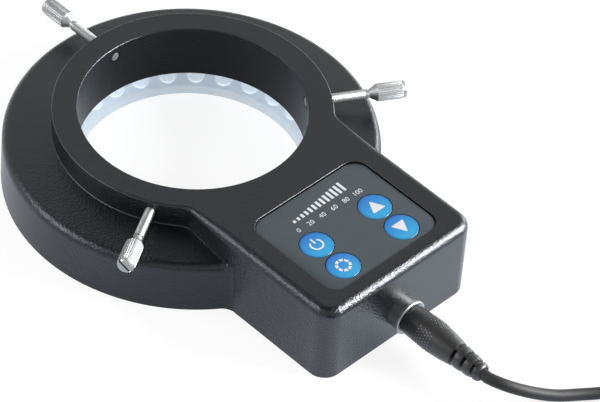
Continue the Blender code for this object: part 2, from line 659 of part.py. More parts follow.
def make_base_cover():
    """The bottom plate of the control box, with a hollow edge that follows the ring."""
    half = CAVITY_HALF - SEAT_GAP
    end = CAVITY_END - SEAT_GAP
    radius = FLANGE_RADIUS + SEAT_GAP
    corner = BOX_CORNER - WALL - SEAT_GAP
    turn = math.pi / 2
    spread = math.asin(half / radius)
    outline = arc((0, 0), radius, spread, -spread, RING_STEPS // 6)
    outline += arc((end - corner, corner - half), corner, -turn, 0, CORNER_STEPS)
    outline += arc((end - corner, half - corner), corner, 0, turn, CORNER_STEPS)
    cover = place("base_cover", prism("base_cover", outline, 0, PLATE_THICKNESS), "black_paint")
    cut_sunk_holes(cover, "plate_holes", M25_SUNK_SCREW, PLATE_POSTS)
    place_screws("base_screw", M25_SUNK_SCREW, True, PLATE_POSTS)


def make_keypad():
    """The membrane in its recess, with a round window for each key."""
    half = PANEL_HALF - FILM_GAP
    outline = rounded_rectangle((PANEL_START + FILM_GAP, -half), (PANEL_END - FILM_GAP, half),
                                PANEL_CORNER - FILM_GAP)
    film = place("keypad_overlay", prism("keypad_overlay", outline, FILM_BOTTOM, FILM_TOP), "slate_film")
    cut(film, cylinder("windows", KEY_RADIUS + FILM_GAP, FILM_BOTTOM - OVERRUN, FILM_TOP + OVERRUN, DISC_STEPS,
                       list(KEY_PLACES.values())))


def make_keys():
    """Each key cap with its stem, the switch below it and the switch's plunger."""
    stem_foot = PLUNGER_TOP + SEAT_GAP
    cap_bottom = RECESS_FLOOR + KEY_TRAVEL + KEY_REST_GAP
    cap = [(0, stem_foot), (STEM_RADIUS, stem_foot), (STEM_RADIUS, cap_bottom), (KEY_RADIUS, cap_bottom),
           (KEY_RADIUS, FILM_TOP), (KEY_RADIUS * KEY_CROWN_SHARE, KEY_TOP), (0, KEY_TOP)]
    well_floor = PLUNGER_FOOT - KEY_TRAVEL - SEAT_GAP
    switch_size = (SWITCH_SIDE, SWITCH_SIDE, SWITCH_HEIGHT)
    for number, (key, spot) in enumerate(KEY_PLACES.items(), 1):
        place("key_" + key, lathe("key_cap", cap, DISC_STEPS), "blue_key", spot)
        plunger = cylinder("plunger", PLUNGER_RADIUS, PLUNGER_FOOT, PLUNGER_TOP, SMALL_STEPS)
        place(f"plunger_{number}", plunger, "white_nylon", spot)
        body = blocks("switch", [(switch_size, (0, 0, SWITCH_BOTTOM + SWITCH_HEIGHT / 2))])
        switch = place(f"switch_{number}", body, "black_plastic", spot)
        cut(switch, cylinder("well", PLUNGER_RADIUS + SEAT_GAP, well_floor, SWITCH_TOP + OVERRUN, SMALL_STEPS), spot)


def hang_block(name, size, finish, x, y, top):
    """A boxy part that hangs below a board."""
    place(name, blocks(name, [(size, (0, 0, -size[2] / 2))]), finish, (x, y, top))


def make_control_board():
    """The board under the keypad, and the larger parts soldered to its underside."""
    outline = rounded_rectangle((CONTROL_START, -CONTROL_HALF), (CONTROL_END, CONTROL_HALF), BOARD_THICKNESS)
    board = place("control_board", prism("control_board", outline, CONTROL_BOTTOM, CONTROL_TOP), "circuit_board")
    cut(board, cylinder("board_holes", M25_SCREW[0] + SEAT_GAP, CONTROL_BOTTOM - OVERRUN, CONTROL_TOP + OVERRUN,
                        SMALL_STEPS, CONTROL_BOSSES))
    place_screws("board_screw", M25_SCREW, False, CONTROL_BOSSES, CONTROL_SCREW_BASE)
    under = CONTROL_BOTTOM - SEAT_GAP
    middle = (CONTROL_START + CONTROL_END) / 2
    hang_block("driver_chip", CHIP_SIZE, "black_plastic", middle - CHIP_SIZE[0], CONTROL_HALF / 2, under)
    edge = CAPACITOR_RADIUS / 6
    can = [(0, -CAPACITOR_HEIGHT), (CAPACITOR_RADIUS - edge, -CAPACITOR_HEIGHT),
           (CAPACITOR_RADIUS, edge - CAPACITOR_HEIGHT), (CAPACITOR_RADIUS, 0), (0, 0)]
    place("storage_capacitor", lathe("storage_capacitor", can, SMALL_STEPS), "capacitor_sleeve",
          (middle - CAPACITOR_RADIUS, -CONTROL_HALF / 2, under))
    waist = CHOKE_RADIUS * CHOKE_WAIST_SHARE
    rim = CHOKE_HEIGHT / 4
    choke = [(0, -CHOKE_HEIGHT), (CHOKE_RADIUS, -CHOKE_HEIGHT), (CHOKE_RADIUS, rim - CHOKE_HEIGHT),
             (waist, rim - CHOKE_HEIGHT), (waist, -rim), (CHOKE_RADIUS, -rim), (CHOKE_RADIUS, 0), (0, 0)]
    place("choke", lathe("choke", choke, SMALL_STEPS), "black_plastic",
          (CONTROL_END - 2 * CHOKE_RADIUS, CONTROL_HALF * 3 / 4, under))
    make_harness(under)


def make_harness(under):
    """The connector at the ring end of the board, and the lead round the ring board's edge to its underside."""
    length, _, height = CONNECTOR_SIZE
    hang_block("lamp_connector", CONNECTOR_SIZE, "white_nylon", CONNECTOR_END - length / 2, 0, under)
    side = RING_BOARD_OUTER + SEAT_GAP + HARNESS_RADIUS
    low = RING_BOARD_BOTTOM - SEAT_GAP - HARNESS_RADIUS
    end = RING_BOARD_OUTER - RING_BOARD_RIM + 2 * SEAT_GAP
    stops = [Vector(stop) for stop in ((side, 0, under - height - SEAT_GAP), (side, 0, low), (end, 0, low))]
    place("lamp_harness", mitred_lead("lamp_harness", stops, HARNESS_RADIUS, HARNESS_STEPS), "red_lead")


def mitred_lead(name, stops, radius, steps):
    """A round lead along stops over the X axis, mitred at its bends so that all its sides are flat."""
    across = Vector((0, 1, 0))
    rings = []
    for before, stop, after in zip(stops[:1] + stops, stops, stops[1:] + stops[-1:]):
        arriving = (stop - before).normalized()
        leaving = (after - stop).normalized()
        heading = (arriving + leaving).normalized()
        stretched = heading.cross(across) / max(heading.dot(arriving), heading.dot(leaving))
        turns = [2 * math.pi * step / steps for step in range(steps)]
        rings.append([stop + radius * (math.cos(turn) * across + math.sin(turn) * stretched) for turn in turns])
    return loft(name, rings)


def tube(name, points, radius, finish, roundness):
    """A round tube along points, with closed ends."""
    curve = bpy.data.curves.new(name, "CURVE")
    curve.dimensions = "3D"
    curve.bevel_depth = radius
    curve.bevel_resolution = roundness
    curve.use_fill_caps = True
    spline = curve.splines.new("POLY")
    spline.points.add(len(points) - 1)
    for spline_point, point in zip(spline.points, points):
        spline_point.co = (*point, 1)
    place(name, curve, finish)


def make_socket():
    """The supply socket on the end face: barrel, nut, body and contact pin."""
    edge = LIP_LENGTH / 4
    barrel = [(SOCKET_RADIUS, BARREL_START), (BARREL_RADIUS, BARREL_START), (BARREL_RADIUS, LIP_END - LIP_LENGTH),
              (LIP_RADIUS, LIP_END - LIP_LENGTH), (LIP_RADIUS, LIP_END - edge), (LIP_RADIUS - edge, LIP_END),
              (SOCKET_RADIUS + edge, LIP_END), (SOCKET_RADIUS, LIP_END - edge)]
    place("jack_bushing", lathe("jack_bushing", barrel, DISC_STEPS), "nickel", JACK_AXIS, ALONG_X)
    sixth = math.pi / 3
    corners = [on_circle(NUT_ACROSS_FLATS / math.sqrt(3), sixth * (i + 0.5))[:2] for i in range(6)]
    nut = place("jack_nut", prism("jack_nut", corners, NUT_END - NUT_THICKNESS, NUT_END), "nickel",
                JACK_AXIS, ALONG_X)
    cut(nut, cylinder("nut_hole", BARREL_RADIUS + SEAT_GAP, NUT_END - NUT_THICKNESS - OVERRUN, NUT_END + OVERRUN,
                      DISC_STEPS), JACK_AXIS, ALONG_X)
    size = (JACK_BODY_LENGTH, JACK_BODY_SIDE, JACK_BODY_SIDE)
    centre = (JACK_BODY_END - JACK_BODY_LENGTH / 2, 0, 0)
    body = place("jack_body", blocks("jack_body", [(size, centre)]), "black_plastic", JACK_AXIS)
    start = JACK_BODY_END - CONTACT_SEAT
    cut(body, cylinder("contact_seat", CONTACT_RADIUS + SEAT_GAP, start - SEAT_GAP, JACK_BODY_END + OVERRUN,
                       SMALL_STEPS), JACK_AXIS, ALONG_X)
    end = start + CONTACT_LENGTH
    point = CONTACT_RADIUS / 2
    contact = [(0, start), (CONTACT_RADIUS, start), (CONTACT_RADIUS, end - point), (point, end), (0, end)]
    place("jack_pin", lathe("jack_pin", contact, SMALL_STEPS), "nickel", JACK_AXIS, ALONG_X)


def ridged_ring(radius, depth, height):
    """Points round a straight knurl."""
    steps = 2 * KNURL_RIDGES
    return [on_circle(radius - depth * (step % 2), 2 * math.pi * step / steps, height) for step in range(steps)]


def knurled_head(start):
    """The grip of a clamping screw, with a chamfer at both ends of its ridges."""
    end = start + HEAD_LENGTH
    rings = [(HEAD_RADIUS - HEAD_CHAMFER, 0, start), (HEAD_RADIUS, KNURL_DEPTH, start + HEAD_CHAMFER),
             (HEAD_RADIUS, KNURL_DEPTH, end - HEAD_CHAMFER), (HEAD_RADIUS - HEAD_CHAMFER, 0, end)]
    return loft("knurled_head", [ridged_ring(*ring) for ring in rings])


def make_clamp_screws():
    """Three radial screws with nylon tips that press on the lens barrel. Each has its own axis frame."""
    neck_end = TIP_LENGTH + SEAT_GAP + SHANK_LENGTH
    neck_start = neck_end - NECK_LENGTH
    head_start = neck_end + SHOULDER_LENGTH
    taper = SHANK_RADIUS - NECK_RADIUS
    shank = [(0, TIP_LENGTH + SEAT_GAP), (SHANK_RADIUS, TIP_LENGTH + SEAT_GAP), (SHANK_RADIUS, neck_start),
             (NECK_RADIUS, neck_start + taper), (NECK_RADIUS, neck_end), (SHANK_RADIUS, neck_end),
             (SHOULDER_RADIUS, head_start), (SHOULDER_RADIUS, head_start + FUSE_DEPTH),
             (0, head_start + FUSE_DEPTH)]
    edge = SHANK_RADIUS / 4
    tip = [(0, 0), (SHANK_RADIUS - edge, 0), (SHANK_RADIUS, edge), (SHANK_RADIUS, TIP_LENGTH), (0, TIP_LENGTH)]
    slot_size = (2 * (HEAD_RADIUS + OVERRUN), SLOT_WIDTH, SLOT_DEPTH + OVERRUN)
    slot_centre = (0, 0, CLAMP_END + (OVERRUN - SLOT_DEPTH) / 2)
    for number, (angle, slot_angle) in enumerate(zip(CLAMP_ANGLES, CLAMP_SLOT_ANGLES), 1):
        turn = math.radians(angle)
        axis = add_empty(f"clamp_axis_{number}", on_circle(BORE_RADIUS, turn, CLAMP_HEIGHT),
                         (0, math.pi / 2, turn), RING_FRAME)
        at_axis = ((0, 0, 0), (0, 0, 0), axis)
        screw = place(f"thumb_screw_{number}", lathe("thumb_screw", shank, SMALL_STEPS), "nickel", *at_axis)
        fuse(screw, knurled_head(head_start), *at_axis)
        cut(screw, blocks("slot", [(slot_size, slot_centre)], (math.radians(slot_angle),)), *at_axis)
        place(f"screw_tip_{number}", lathe("screw_tip", tip, SMALL_STEPS), "white_nylon", *at_axis)


def make_plug():
    """The moulded plug with its slotted strain relief, and the contact sleeve at its nose."""
    profile = [(PLUG_RADIUS * radius, PLUG_START + PLUG_LENGTH * along) for along, radius in PLUG_SHARES]
    profile = [(0, PLUG_START)] + profile + [(0, PLUG_START + PLUG_LENGTH)]
    plug = place("dc_plug", lathe("dc_plug", profile, DISC_STEPS), "cord_jacket", JACK_AXIS, ALONG_X)
    half_turn = math.pi / RELIEF_SIDES - math.radians(RELIEF_RIB_ANGLE) / 2
    for side in range(RELIEF_SIDES):
        middle = math.radians(RELIEF_TURN) + 2 * math.pi * side / RELIEF_SIDES
        outer = arc((0, 0), PLUG_RADIUS, middle - half_turn, middle + half_turn, RELIEF_STEPS)
        inner = arc((0, 0), RELIEF_CORE_RADIUS, middle + half_turn, middle - half_turn, RELIEF_STEPS)
        for number in range(RELIEF_SLOTS):
            along = PLUG_START + RELIEF_SLOT_START + RELIEF_SLOT_PITCH * number
            slot = prism("relief_slot", outer + inner, along - RELIEF_SLOT / 2, along + RELIEF_SLOT / 2)
            cut(plug, slot, JACK_AXIS, ALONG_X)
    start = LIP_END - SLEEVE_LENGTH
    sleeve = [(SLEEVE_BORE, start), (SLEEVE_RADIUS, start), (SLEEVE_RADIUS, LIP_END), (SLEEVE_BORE, LIP_END)]
    place("plug_sleeve", lathe("plug_sleeve", sleeve, SMALL_STEPS), "nickel", JACK_AXIS, ALONG_X)


def smooth_line(stops):
    """Close points on a smooth curve through the stops."""
    line = []
    for i, (a, b) in enumerate(zip(stops, stops[1:])):
        slope_a = (b - stops[i - 1]) / 2 if i > 0 else b - a
        slope_b = (stops[i + 2] - a) / 2 if i + 2 < len(stops) else b - a
        for step in range(LOOP_POINTS):
            t = step / LOOP_POINTS
            line.append(a * (2 * t ** 3 - 3 * t ** 2 + 1) + slope_a * (t ** 3 - 2 * t ** 2 + t)
                        + b * (3 * t ** 2 - 2 * t ** 3) + slope_b * (t ** 3 - t ** 2))
    return line + [stops[-1]]


def smooth_route(stops):
    """Evenly spaced points on the smooth curve through the stops, never below the floor."""
    line = smooth_line([Vector(stop) for stop in stops])
    lengths = [0]
    for a, b in zip(line, line[1:]):
        lengths.append(lengths[-1] + (b - a).length)
    count = round(lengths[-1] / CORD_POINT_STEP)
    points = []
    i = 0
    for number in range(count + 1):
        wanted = lengths[-1] * number / count
        while i + 2 < len(line) and lengths[i + 1] < wanted:
            i += 1
        point = line[i].lerp(line[i + 1], (wanted - lengths[i]) / (lengths[i + 1] - lengths[i]))
        points.append(Vector((point.x, point.y, max(point.z, CORD_RADIUS))))
    return points


def free_stretch(start, leaving, stops, end, arriving):
    """A free stretch of the cord, straight for one cord radius at both ends."""
    straight = smooth_route((start + leaving * CORD_RADIUS, *stops, end - arriving * CORD_RADIUS))
    return [start] + straight + [end]


def coil_point(turns):
    """A place in the coil after a number of turns.

    Layers spiral in and out in turn. In the half turn after each layer the spiral keeps its rate to the
    middle, comes back, and climbs to the next layer.
    """
    layer, into = divmod(turns, COIL_TURNS + 0.5)
    past = max(0, into - COIL_TURNS)
    travel = min(into, COIL_TURNS + 0.5 - past) * LOOP_PITCH
    radius = COIL_RADIUS - COIL_TURNS * LOOP_PITCH + travel if layer % 2 else COIL_RADIUS - travel
    angle = math.radians(COIL_START_ANGLE) - 2 * math.pi * turns
    x, y, z = on_circle(radius, angle, COIL_BASE + LOOP_PITCH * (layer + 2 * past))
    return Vector((COIL_CENTRE[0] + x, COIL_CENTRE[1] + y, z))


def coil_points():
    """The whole coil as one unbroken line, with a straight end of one cord diameter on both sides."""
    turns = COIL_LAYERS * COIL_TURNS + (COIL_LAYERS - 1) / 2
    points = [coil_point(step / LOOP_POINTS) for step in range(round(LOOP_POINTS * turns) + 1)]
    start = math.radians(COIL_START_ANGLE)
    end = start - 2 * math.pi * turns
    heading = Vector((math.sin(start), -math.cos(start), 0))
    end_heading = Vector((math.sin(end), -math.cos(end), 0))
    return [points[0] - heading * CORD_DIAMETER] + points + [points[-1] + end_heading * CORD_DIAMETER]


def least_gap(points):
    """The least free distance between a tube and itself, from half a loop away on."""
    nearest = math.inf
    for i, point in enumerate(points):
        for a, b in zip(points[i + LOOP_POINTS // 2:], points[i + LOOP_POINTS // 2 + 1:]):
            foot, share = intersect_point_line(point, a, b)
            foot = a if share < 0 else b if share > 1 else foot
            nearest = min(nearest, (point - foot).length)
    return nearest - CORD_DIAMETER


def make_cord():
    """The supply cord: the stretch from the plug, the coil of its spare length, and the stretch after it."""
    coil = coil_points()
    print(f"least gap of the coil to itself: {least_gap(coil):.6f} m, wanted over {LEAST_CORD_GAP} m")
    at_plug = Vector((PLUG_START + PLUG_LENGTH + SEAT_GAP, 0, JACK_HEIGHT))
    at_adapter = Vector((ADAPTER_PLACE[0], ADAPTER_PLACE[1] + ADAPTER_RELIEF_LENGTH + SEAT_GAP, ADAPTER_HEIGHT / 2))
    into = (coil[1] - coil[0]).normalized()
    out = (coil[-1] - coil[-2]).normalized()
    run = free_stretch(at_plug, Vector((1, 0, 0)), RUN_STOPS, coil[0] - into * SEAT_GAP, into)
    tail = free_stretch(coil[-1] + out * SEAT_GAP, out, TAIL_STOPS, at_adapter, Vector((0, -1, 0)))
    tube("cord_run", run, CORD_RADIUS, "cord_jacket", 2)
    tube("cord_coil", coil, CORD_RADIUS, "cord_jacket", 1)
    tube("cord_tail", tail, CORD_RADIUS, "cord_jacket", 2)
    length = sum((b - a).length for line in (run, coil, tail) for a, b in zip(line, line[1:]))
    print(f"length of the cord: {length:.3f} m")


def make_tie():
    """A closed band round the coil's section."""
    half = TIE_WIDTH / 2
    low = math.sqrt((COIL_INNER - CORD_RADIUS) ** 2 - half ** 2) - SEAT_GAP
    high = COIL_OUTER + CORD_RADIUS + SEAT_GAP
    top = COIL_BASE + (COIL_LAYERS - 1) * LOOP_PITCH + CORD_RADIUS + SEAT_GAP
    wall = TIE_THICKNESS
    outer = rounded_rectangle((low - wall, 0), (high + wall, top + wall), CORD_RADIUS + wall)
    hole = rounded_rectangle((low, wall), (high, top), CORD_RADIUS)
    where = ((*COIL_CENTRE, 0), (math.pi / 2, 0, math.radians(TIE_ANGLE)))
    tie = place("cord_tie", prism("cord_tie", outer, -half, half), "black_plastic", *where)
    cut(tie, prism("tie_hole", hole, -half - OVERRUN, half + OVERRUN), *where)


def adapter_shell(name, closed_x, open_x):
    """A rounded cup along X, from its closed wall with a rounded edge to its open mouth."""
    half = ADAPTER_HEIGHT / 2
    inward = math.copysign(1, open_x - closed_x)
    low = ADAPTER_FACE - ADAPTER_LENGTH
    rings = []
    for step in range(EDGE_STEPS + 1):
        angle = math.pi / 2 * step / EDGE_STEPS
        inset = ADAPTER_EDGE * (1 - math.sin(angle))
        depth = ADAPTER_EDGE * (1 - math.cos(angle))
        outline = rounded_rectangle((low + inset, inset - half), (ADAPTER_FACE - inset, half - inset),
                                    ADAPTER_CORNER - inset)
        rings.append([(y, z, closed_x + inward * depth) for y, z in outline])
    rings.append([(y, z, open_x) for y, z, _ in rings[-1]])
    wall = ADAPTER_WALL
    hollow = rounded_rectangle((low + wall, wall - half), (ADAPTER_FACE - wall, half - wall), ADAPTER_CORNER - wall)
    where = ((0, 0, half), (math.pi / 2, 0, math.pi / 2))
    shell = place(name, loft(name, rings), "black_plastic", *where)
    cut(shell, prism(name + "_inside", hollow, closed_x + inward * wall, open_x + inward * OVERRUN), *where)
    return shell


def make_adapter():
    """The plug-in supply on its side: two shells, the transformer, the strain relief and the two pins."""
    half = ADAPTER_HEIGHT / 2
    joint = ADAPTER_HIGH_X - ADAPTER_CAP_DEPTH
    adapter_shell("adapter_body", ADAPTER_LOW_X, joint)
    cap = adapter_shell("adapter_cap", ADAPTER_HIGH_X, joint + SEAT_GAP)
    middle = ADAPTER_FACE - ADAPTER_LENGTH / 2
    seat = (ADAPTER_LOW_X + ADAPTER_WALL + SEAT_GAP, middle, ADAPTER_WALL + SEAT_GAP)
    length, _, height = TRANSFORMER_SIZE
    core = blocks("adapter_transformer", [(TRANSFORMER_SIZE, (length / 2, 0, height / 2))])
    place("adapter_transformer", core, "steel", seat)
    relief = [(0, 0), (ADAPTER_RELIEF_RADIUS, 0), (ADAPTER_RELIEF_TIP, ADAPTER_RELIEF_LENGTH),
              (0, ADAPTER_RELIEF_LENGTH)]
    place("adapter_relief", lathe("adapter_relief", relief, SMALL_STEPS), "cord_jacket",
          (*ADAPTER_PLACE, half), (-math.pi / 2, 0, 0))
    foot = ADAPTER_HIGH_X - ADAPTER_WALL
    end = ADAPTER_HIGH_X + MAINS_PIN_LENGTH
    edge = MAINS_PIN_RADIUS / 2
    pin = [(0, foot), (MAINS_PIN_RADIUS, foot), (MAINS_PIN_RADIUS, end - edge), (edge, end), (0, end)]
    for number, side in enumerate((1, -1), 1):
        spot = (0, middle, half + side * MAINS_PIN_SPACING / 2)
        place(f"adapter_pin_{number}", lathe("adapter_pin", pin, SMALL_STEPS), "nickel", spot, ALONG_X)
        hole = cylinder("pin_hole", MAINS_PIN_RADIUS + SEAT_GAP, foot - OVERRUN, ADAPTER_HIGH_X + OVERRUN,
                        SMALL_STEPS)
        cut(cap, hole, spot, ALONG_X)


make_housing()
make_lamp_cover()
make_lamp_board()
make_base_cover()
make_keypad()
make_keys()
make_control_board()
make_socket()
make_clamp_screws()
make_plug()
make_cord()
make_tie()
make_adapter()
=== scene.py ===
"""Looks of a microscope ring light, piece by piece in the order in which it is put together.

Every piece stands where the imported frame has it. All lengths are in metres.
"""

import math

import bmesh
import bpy
from mathutils import Matrix, Vector


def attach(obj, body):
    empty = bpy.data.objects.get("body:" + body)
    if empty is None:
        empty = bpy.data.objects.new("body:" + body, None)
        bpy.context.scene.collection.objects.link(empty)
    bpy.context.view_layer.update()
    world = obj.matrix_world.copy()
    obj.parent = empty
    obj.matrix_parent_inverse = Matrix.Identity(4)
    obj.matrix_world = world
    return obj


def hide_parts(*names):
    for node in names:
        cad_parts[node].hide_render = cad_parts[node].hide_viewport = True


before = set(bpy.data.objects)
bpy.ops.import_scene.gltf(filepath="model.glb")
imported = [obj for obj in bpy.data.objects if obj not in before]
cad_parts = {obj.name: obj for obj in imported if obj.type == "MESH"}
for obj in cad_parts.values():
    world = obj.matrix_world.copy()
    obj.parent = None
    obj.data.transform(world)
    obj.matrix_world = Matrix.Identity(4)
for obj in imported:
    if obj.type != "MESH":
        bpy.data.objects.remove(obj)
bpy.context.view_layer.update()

# Camera. A long lens on the socket's side of the light, looking down on it at about 45 degrees,
# so the far screw, the keypad and the plug show together.
camera_spot = (0.47486, -0.47989, 0.66916)
right, down, ahead = (0.6938, 0.7181, 0.0539), (0.5335, -0.4623, -0.7083), (-0.4837, 0.5202, -0.7039)


def add_object(name, data):
    """A new object in the scene."""
    thing = bpy.data.objects.new(name, data)
    bpy.context.scene.collection.objects.link(thing)
    return thing


camera = add_object("photo_camera", bpy.data.cameras.new("photo_camera"))
camera.data.sensor_width = 36
camera.data.lens = 214.3
turned = Matrix((right, [-x for x in down], [-x for x in ahead])).transposed()
camera.matrix_world = Matrix.Translation(camera_spot) @ turned.to_4x4()
bpy.context.scene.camera = camera
bpy.context.scene.view_settings.view_transform = "Standard"

# Supply cord. Two thin cores in a soft round black jacket, straight out of the plug's relief and down to
# the bench. Its spare length is wound into a small tied coil, and its end goes into the plug-in supply.
ring_axis = Vector((-0.0121, 0, 0))
cord_radius, cord_step, cord_gap = 0.0016, 0.0018, 0.0003
jack_height, plug_end = 0.009, 0.1078
run_stops = (
    (0.1130, 0.0008, 0.0092), (0.1156, 0.0028, 0.0083), (0.1179, 0.0056, 0.0068), (0.1202, 0.0092, 0.0050),
    (0.1225, 0.0134, 0.0033), (0.1250, 0.0185, 0.0021), (0.1278, 0.0231, 0.0016), (0.1324, 0.0304, 0.0016),
    (0.1376, 0.0387, 0.0016), (0.1429, 0.0473, 0.0018),
)
tail_stops = (
    (0.1806, 0.0250, 0.0109), (0.1763, 0.0180, 0.0060), (0.1716, 0.0112, 0.0026), (0.1664, 0.0050, 0.0016),
    (0.1605, -0.0008, 0.0020), (0.1548, -0.0064, 0.0041), (0.1499, -0.0126, 0.0078),
    (0.1462, -0.0188, 0.0116), (0.1445, -0.0232, 0.0135),
)
coil_middle = Vector((0.1688, 0.047, 0))
coil_radius, coil_pitch, coil_base, coil_start = 0.022, 0.0037, 0.0027, math.radians(148)
layer_turns, climb_turns = 3, 0.5
stops_per_turn, coil_stop_count = 24, 325
relief_mouth = Vector((0.144, -0.0277, 0.014))


def coil_spot(turns):
    """A place in the coil: layers spiral in and out in turn, and climb where they reverse."""
    layer, into = divmod(turns, layer_turns + climb_turns)
    past = max(0, into - layer_turns)
    travel = min(into, layer_turns + climb_turns - past) * coil_pitch
    radius = coil_radius - layer_turns * coil_pitch + travel if layer % 2 else coil_radius - travel
    angle = coil_start - 2 * math.pi * turns
    climb = coil_base + coil_pitch * (layer + 2 * past)
    return coil_middle + Vector((radius * math.cos(angle), radius * math.sin(angle), climb))


def smooth_way(stops, step):
    """Close points on a smooth curve through the stops."""
    way = []
    for i, (a, b) in enumerate(zip(stops, stops[1:])):
        slope_a = (b - stops[i - 1]) / 2 if i > 0 else b - a
        slope_b = (stops[i + 2] - a) / 2 if i + 2 < len(stops) else b - a
        parts = max(1, round((b - a).length / step))
        for part in range(parts):
            t = part / parts
            way.append(a * (2 * t ** 3 - 3 * t ** 2 + 1) + slope_a * (t ** 3 - 2 * t ** 2 + t)
                       + b * (3 * t ** 2 - 2 * t ** 3) + slope_b * (t ** 3 - t ** 2))
    return way + [stops[-1]]


def add_nodes(tree, *kinds):
    """New shader nodes in a tree, one for each kind."""
    return [tree.nodes.new("ShaderNode" + kind) for kind in kinds]


def wire(tree, *rows):
    """Links nodes. Each row is a node, its output, the next node and its input."""
    for start, output, end, socket in rows:
        tree.links.new(start.outputs[output], end.inputs[socket])


def grained(name, colour, roughness, metallic=0.0, grain=2500.0, depth=0.00002, uneven=0.12):
    """A finish with a fine grain, a little uneven in tone and gloss."""
    material = bpy.data.materials.new(name)
    material.use_nodes = True
    tree = material.node_tree
    shader = tree.nodes["Principled BSDF"]
    shader.inputs["Metallic"].default_value = metallic
    where, fine, broad, bump, tone, gloss = add_nodes(
        tree, "TexCoord", "TexNoise", "TexNoise", "Bump", "Mix", "MapRange")
    fine.inputs["Scale"].default_value = grain
    fine.inputs["Detail"].default_value = 3
    broad.inputs["Scale"].default_value = grain / 25
    broad.inputs["Detail"].default_value = 4
    bump.inputs["Distance"].default_value = depth
    tone.data_type = "RGBA"
    tone.inputs[6].default_value = (*[x * (1 - uneven) for x in colour], 1)
    tone.inputs[7].default_value = (*[min(1, x * (1 + uneven)) for x in colour], 1)
    gloss.inputs["To Min"].default_value = roughness * (1 - uneven)
    gloss.inputs["To Max"].default_value = roughness * (1 + uneven)
    wire(tree, (where, "Object", fine, "Vector"), (where, "Object", broad, "Vector"),
         (fine, "Fac", bump, "Height"), (broad, "Fac", tone, "Factor"), (broad, "Fac", gloss, "Value"),
         (tone, 2, shader, "Base Color"), (gloss, "Result", shader, "Roughness"),
         (bump, "Normal", shader, "Normal"))
    return material


first = Vector((plug_end + cord_gap, 0, jack_height))
coil_stops = [coil_spot(step / stops_per_turn) for step in range(coil_stop_count)]
stops = [first, first + Vector((cord_radius, 0, 0)), *map(Vector, run_stops), *coil_stops,
         *map(Vector, tail_stops), relief_mouth + Vector((0, cord_radius, 0)), relief_mouth]
way = [point + ring_axis for point in smooth_way(stops, cord_step)]
jacket = grained("soft_black_jacket", (0.015, 0.015, 0.016), 0.6, grain=1800, depth=0.00003)
jacket.node_tree.nodes["Principled BSDF"].inputs["Specular IOR Level"].default_value = 0.3
line = bpy.data.curves.new("supply_cord", "CURVE")
line.dimensions = "3D"
line.bevel_depth = cord_radius
line.bevel_resolution = 4
line.use_fill_caps = True
spline = line.splines.new("POLY")
spline.points.add(len(way) - 1)
for spline_point, point in zip(spline.points, way):
    spline_point.co = (point.x, point.y, max(point.z, cord_radius), 1)
spline.use_smooth = True
line.materials.append(jacket)
supply_cord = add_object("supply_cord", line)
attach(supply_cord, "lead")
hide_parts("cord_run", "cord_coil", "cord_tail")

# Plug. A soft black body moulded over the plug's contacts, with patches of raised grip dots painted light
# grey as a painted highlight, and a relief whose two rows of slots let it bend with the cord. The rings
# between the slots are a little swollen.
plug_start, plug_length, plug_radius = 0.0827, 0.0251, 0.00433
plug_shares = ((0.0, 0.9), (0.015, 0.95), (0.13, 0.975), (0.3, 1.0), (0.4, 0.97), (0.52, 0.9), (0.61, 0.815),
               (0.645, 0.775), (0.67, 0.72), (0.7, 0.745), (0.745, 0.735), (0.785, 0.68), (0.82, 0.69),
               (0.865, 0.68), (0.91, 0.61), (0.935, 0.61), (0.975, 0.585), (0.99, 0.555), (1.0, 0.49))
cord_hole, cord_hole_rim, cord_hole_depth = 0.0017, 0.00185, 0.0003
first_slot, slot_pitch, slot_half, slot_floor, slot_spread = 0.01675, 0.0032, 0.0005, 0.0019, 1.38
slot_sides = (math.radians(103), math.radians(283))
dot_rows, dots_round, first_dots, dot_pitch = 6, 30, 0.0052, 0.00084
patch_places, patch_dots = 10, 7
along_x = Matrix.Rotation(math.pi / 2, 4, "Y")
socket_frame = Matrix.Translation((ring_axis.x, 0, jack_height)) @ along_x


def put(bm, name, place=Matrix.Identity(4)):
    """Makes a bmesh a mesh: in place, its seams merged and its faces turned outwards."""
    bmesh.ops.transform(bm, matrix=place, verts=bm.verts)
    bmesh.ops.remove_doubles(bm, verts=bm.verts, dist=0.0000001)
    bmesh.ops.recalc_face_normals(bm, faces=bm.faces)
    mesh = bpy.data.meshes.new(name)
    bm.to_mesh(mesh)
    bm.free()
    return mesh


def turned_mesh(name, profile, steps, place=Matrix.Identity(4)):
    """A lathe: (radius, height) points turned about Z. A profile off the axis closes into a ring."""
    bm = bmesh.new()
    closed = profile[0][0] > 0 or profile[-1][0] > 0
    rows = []
    for radius, height in profile:
        if radius == 0:
            rows.append([bm.verts.new((0, 0, height))] * steps)
        else:
            rows.append([bm.verts.new((radius * math.cos(a), radius * math.sin(a), height))
                         for a in (2 * math.pi * i / steps for i in range(steps))])
    pairs = list(zip(rows, rows[1:])) + ([(rows[-1], rows[0])] if closed else [])
    for low, high in pairs:
        for i in range(steps):
            corners = list(dict.fromkeys([low[i - 1], low[i], high[i], high[i - 1]]))
            if len(corners) > 2:
                bm.faces.new(corners)
    return put(bm, name, place)


def round_arc(middle, radius, start, end, steps):
    """Points on an arc, ends included."""
    return [(middle[0] + radius * math.cos(start + (end - start) * i / steps),
             middle[1] + radius * math.sin(start + (end - start) * i / steps)) for i in range(steps + 1)]


def stacked(name, rings):
    """Skins outlines of equally many points into a closed block."""
    bm = bmesh.new()
    rows = [[bm.verts.new(point) for point in ring] for ring in rings]
    for low, high in zip(rows, rows[1:]):
        for i, vert in enumerate(low):
            bm.faces.new((low[i - 1], vert, high[i], high[i - 1]))
    bm.faces.new(rows[0])
    bm.faces.new(rows[-1])
    return put(bm, name)


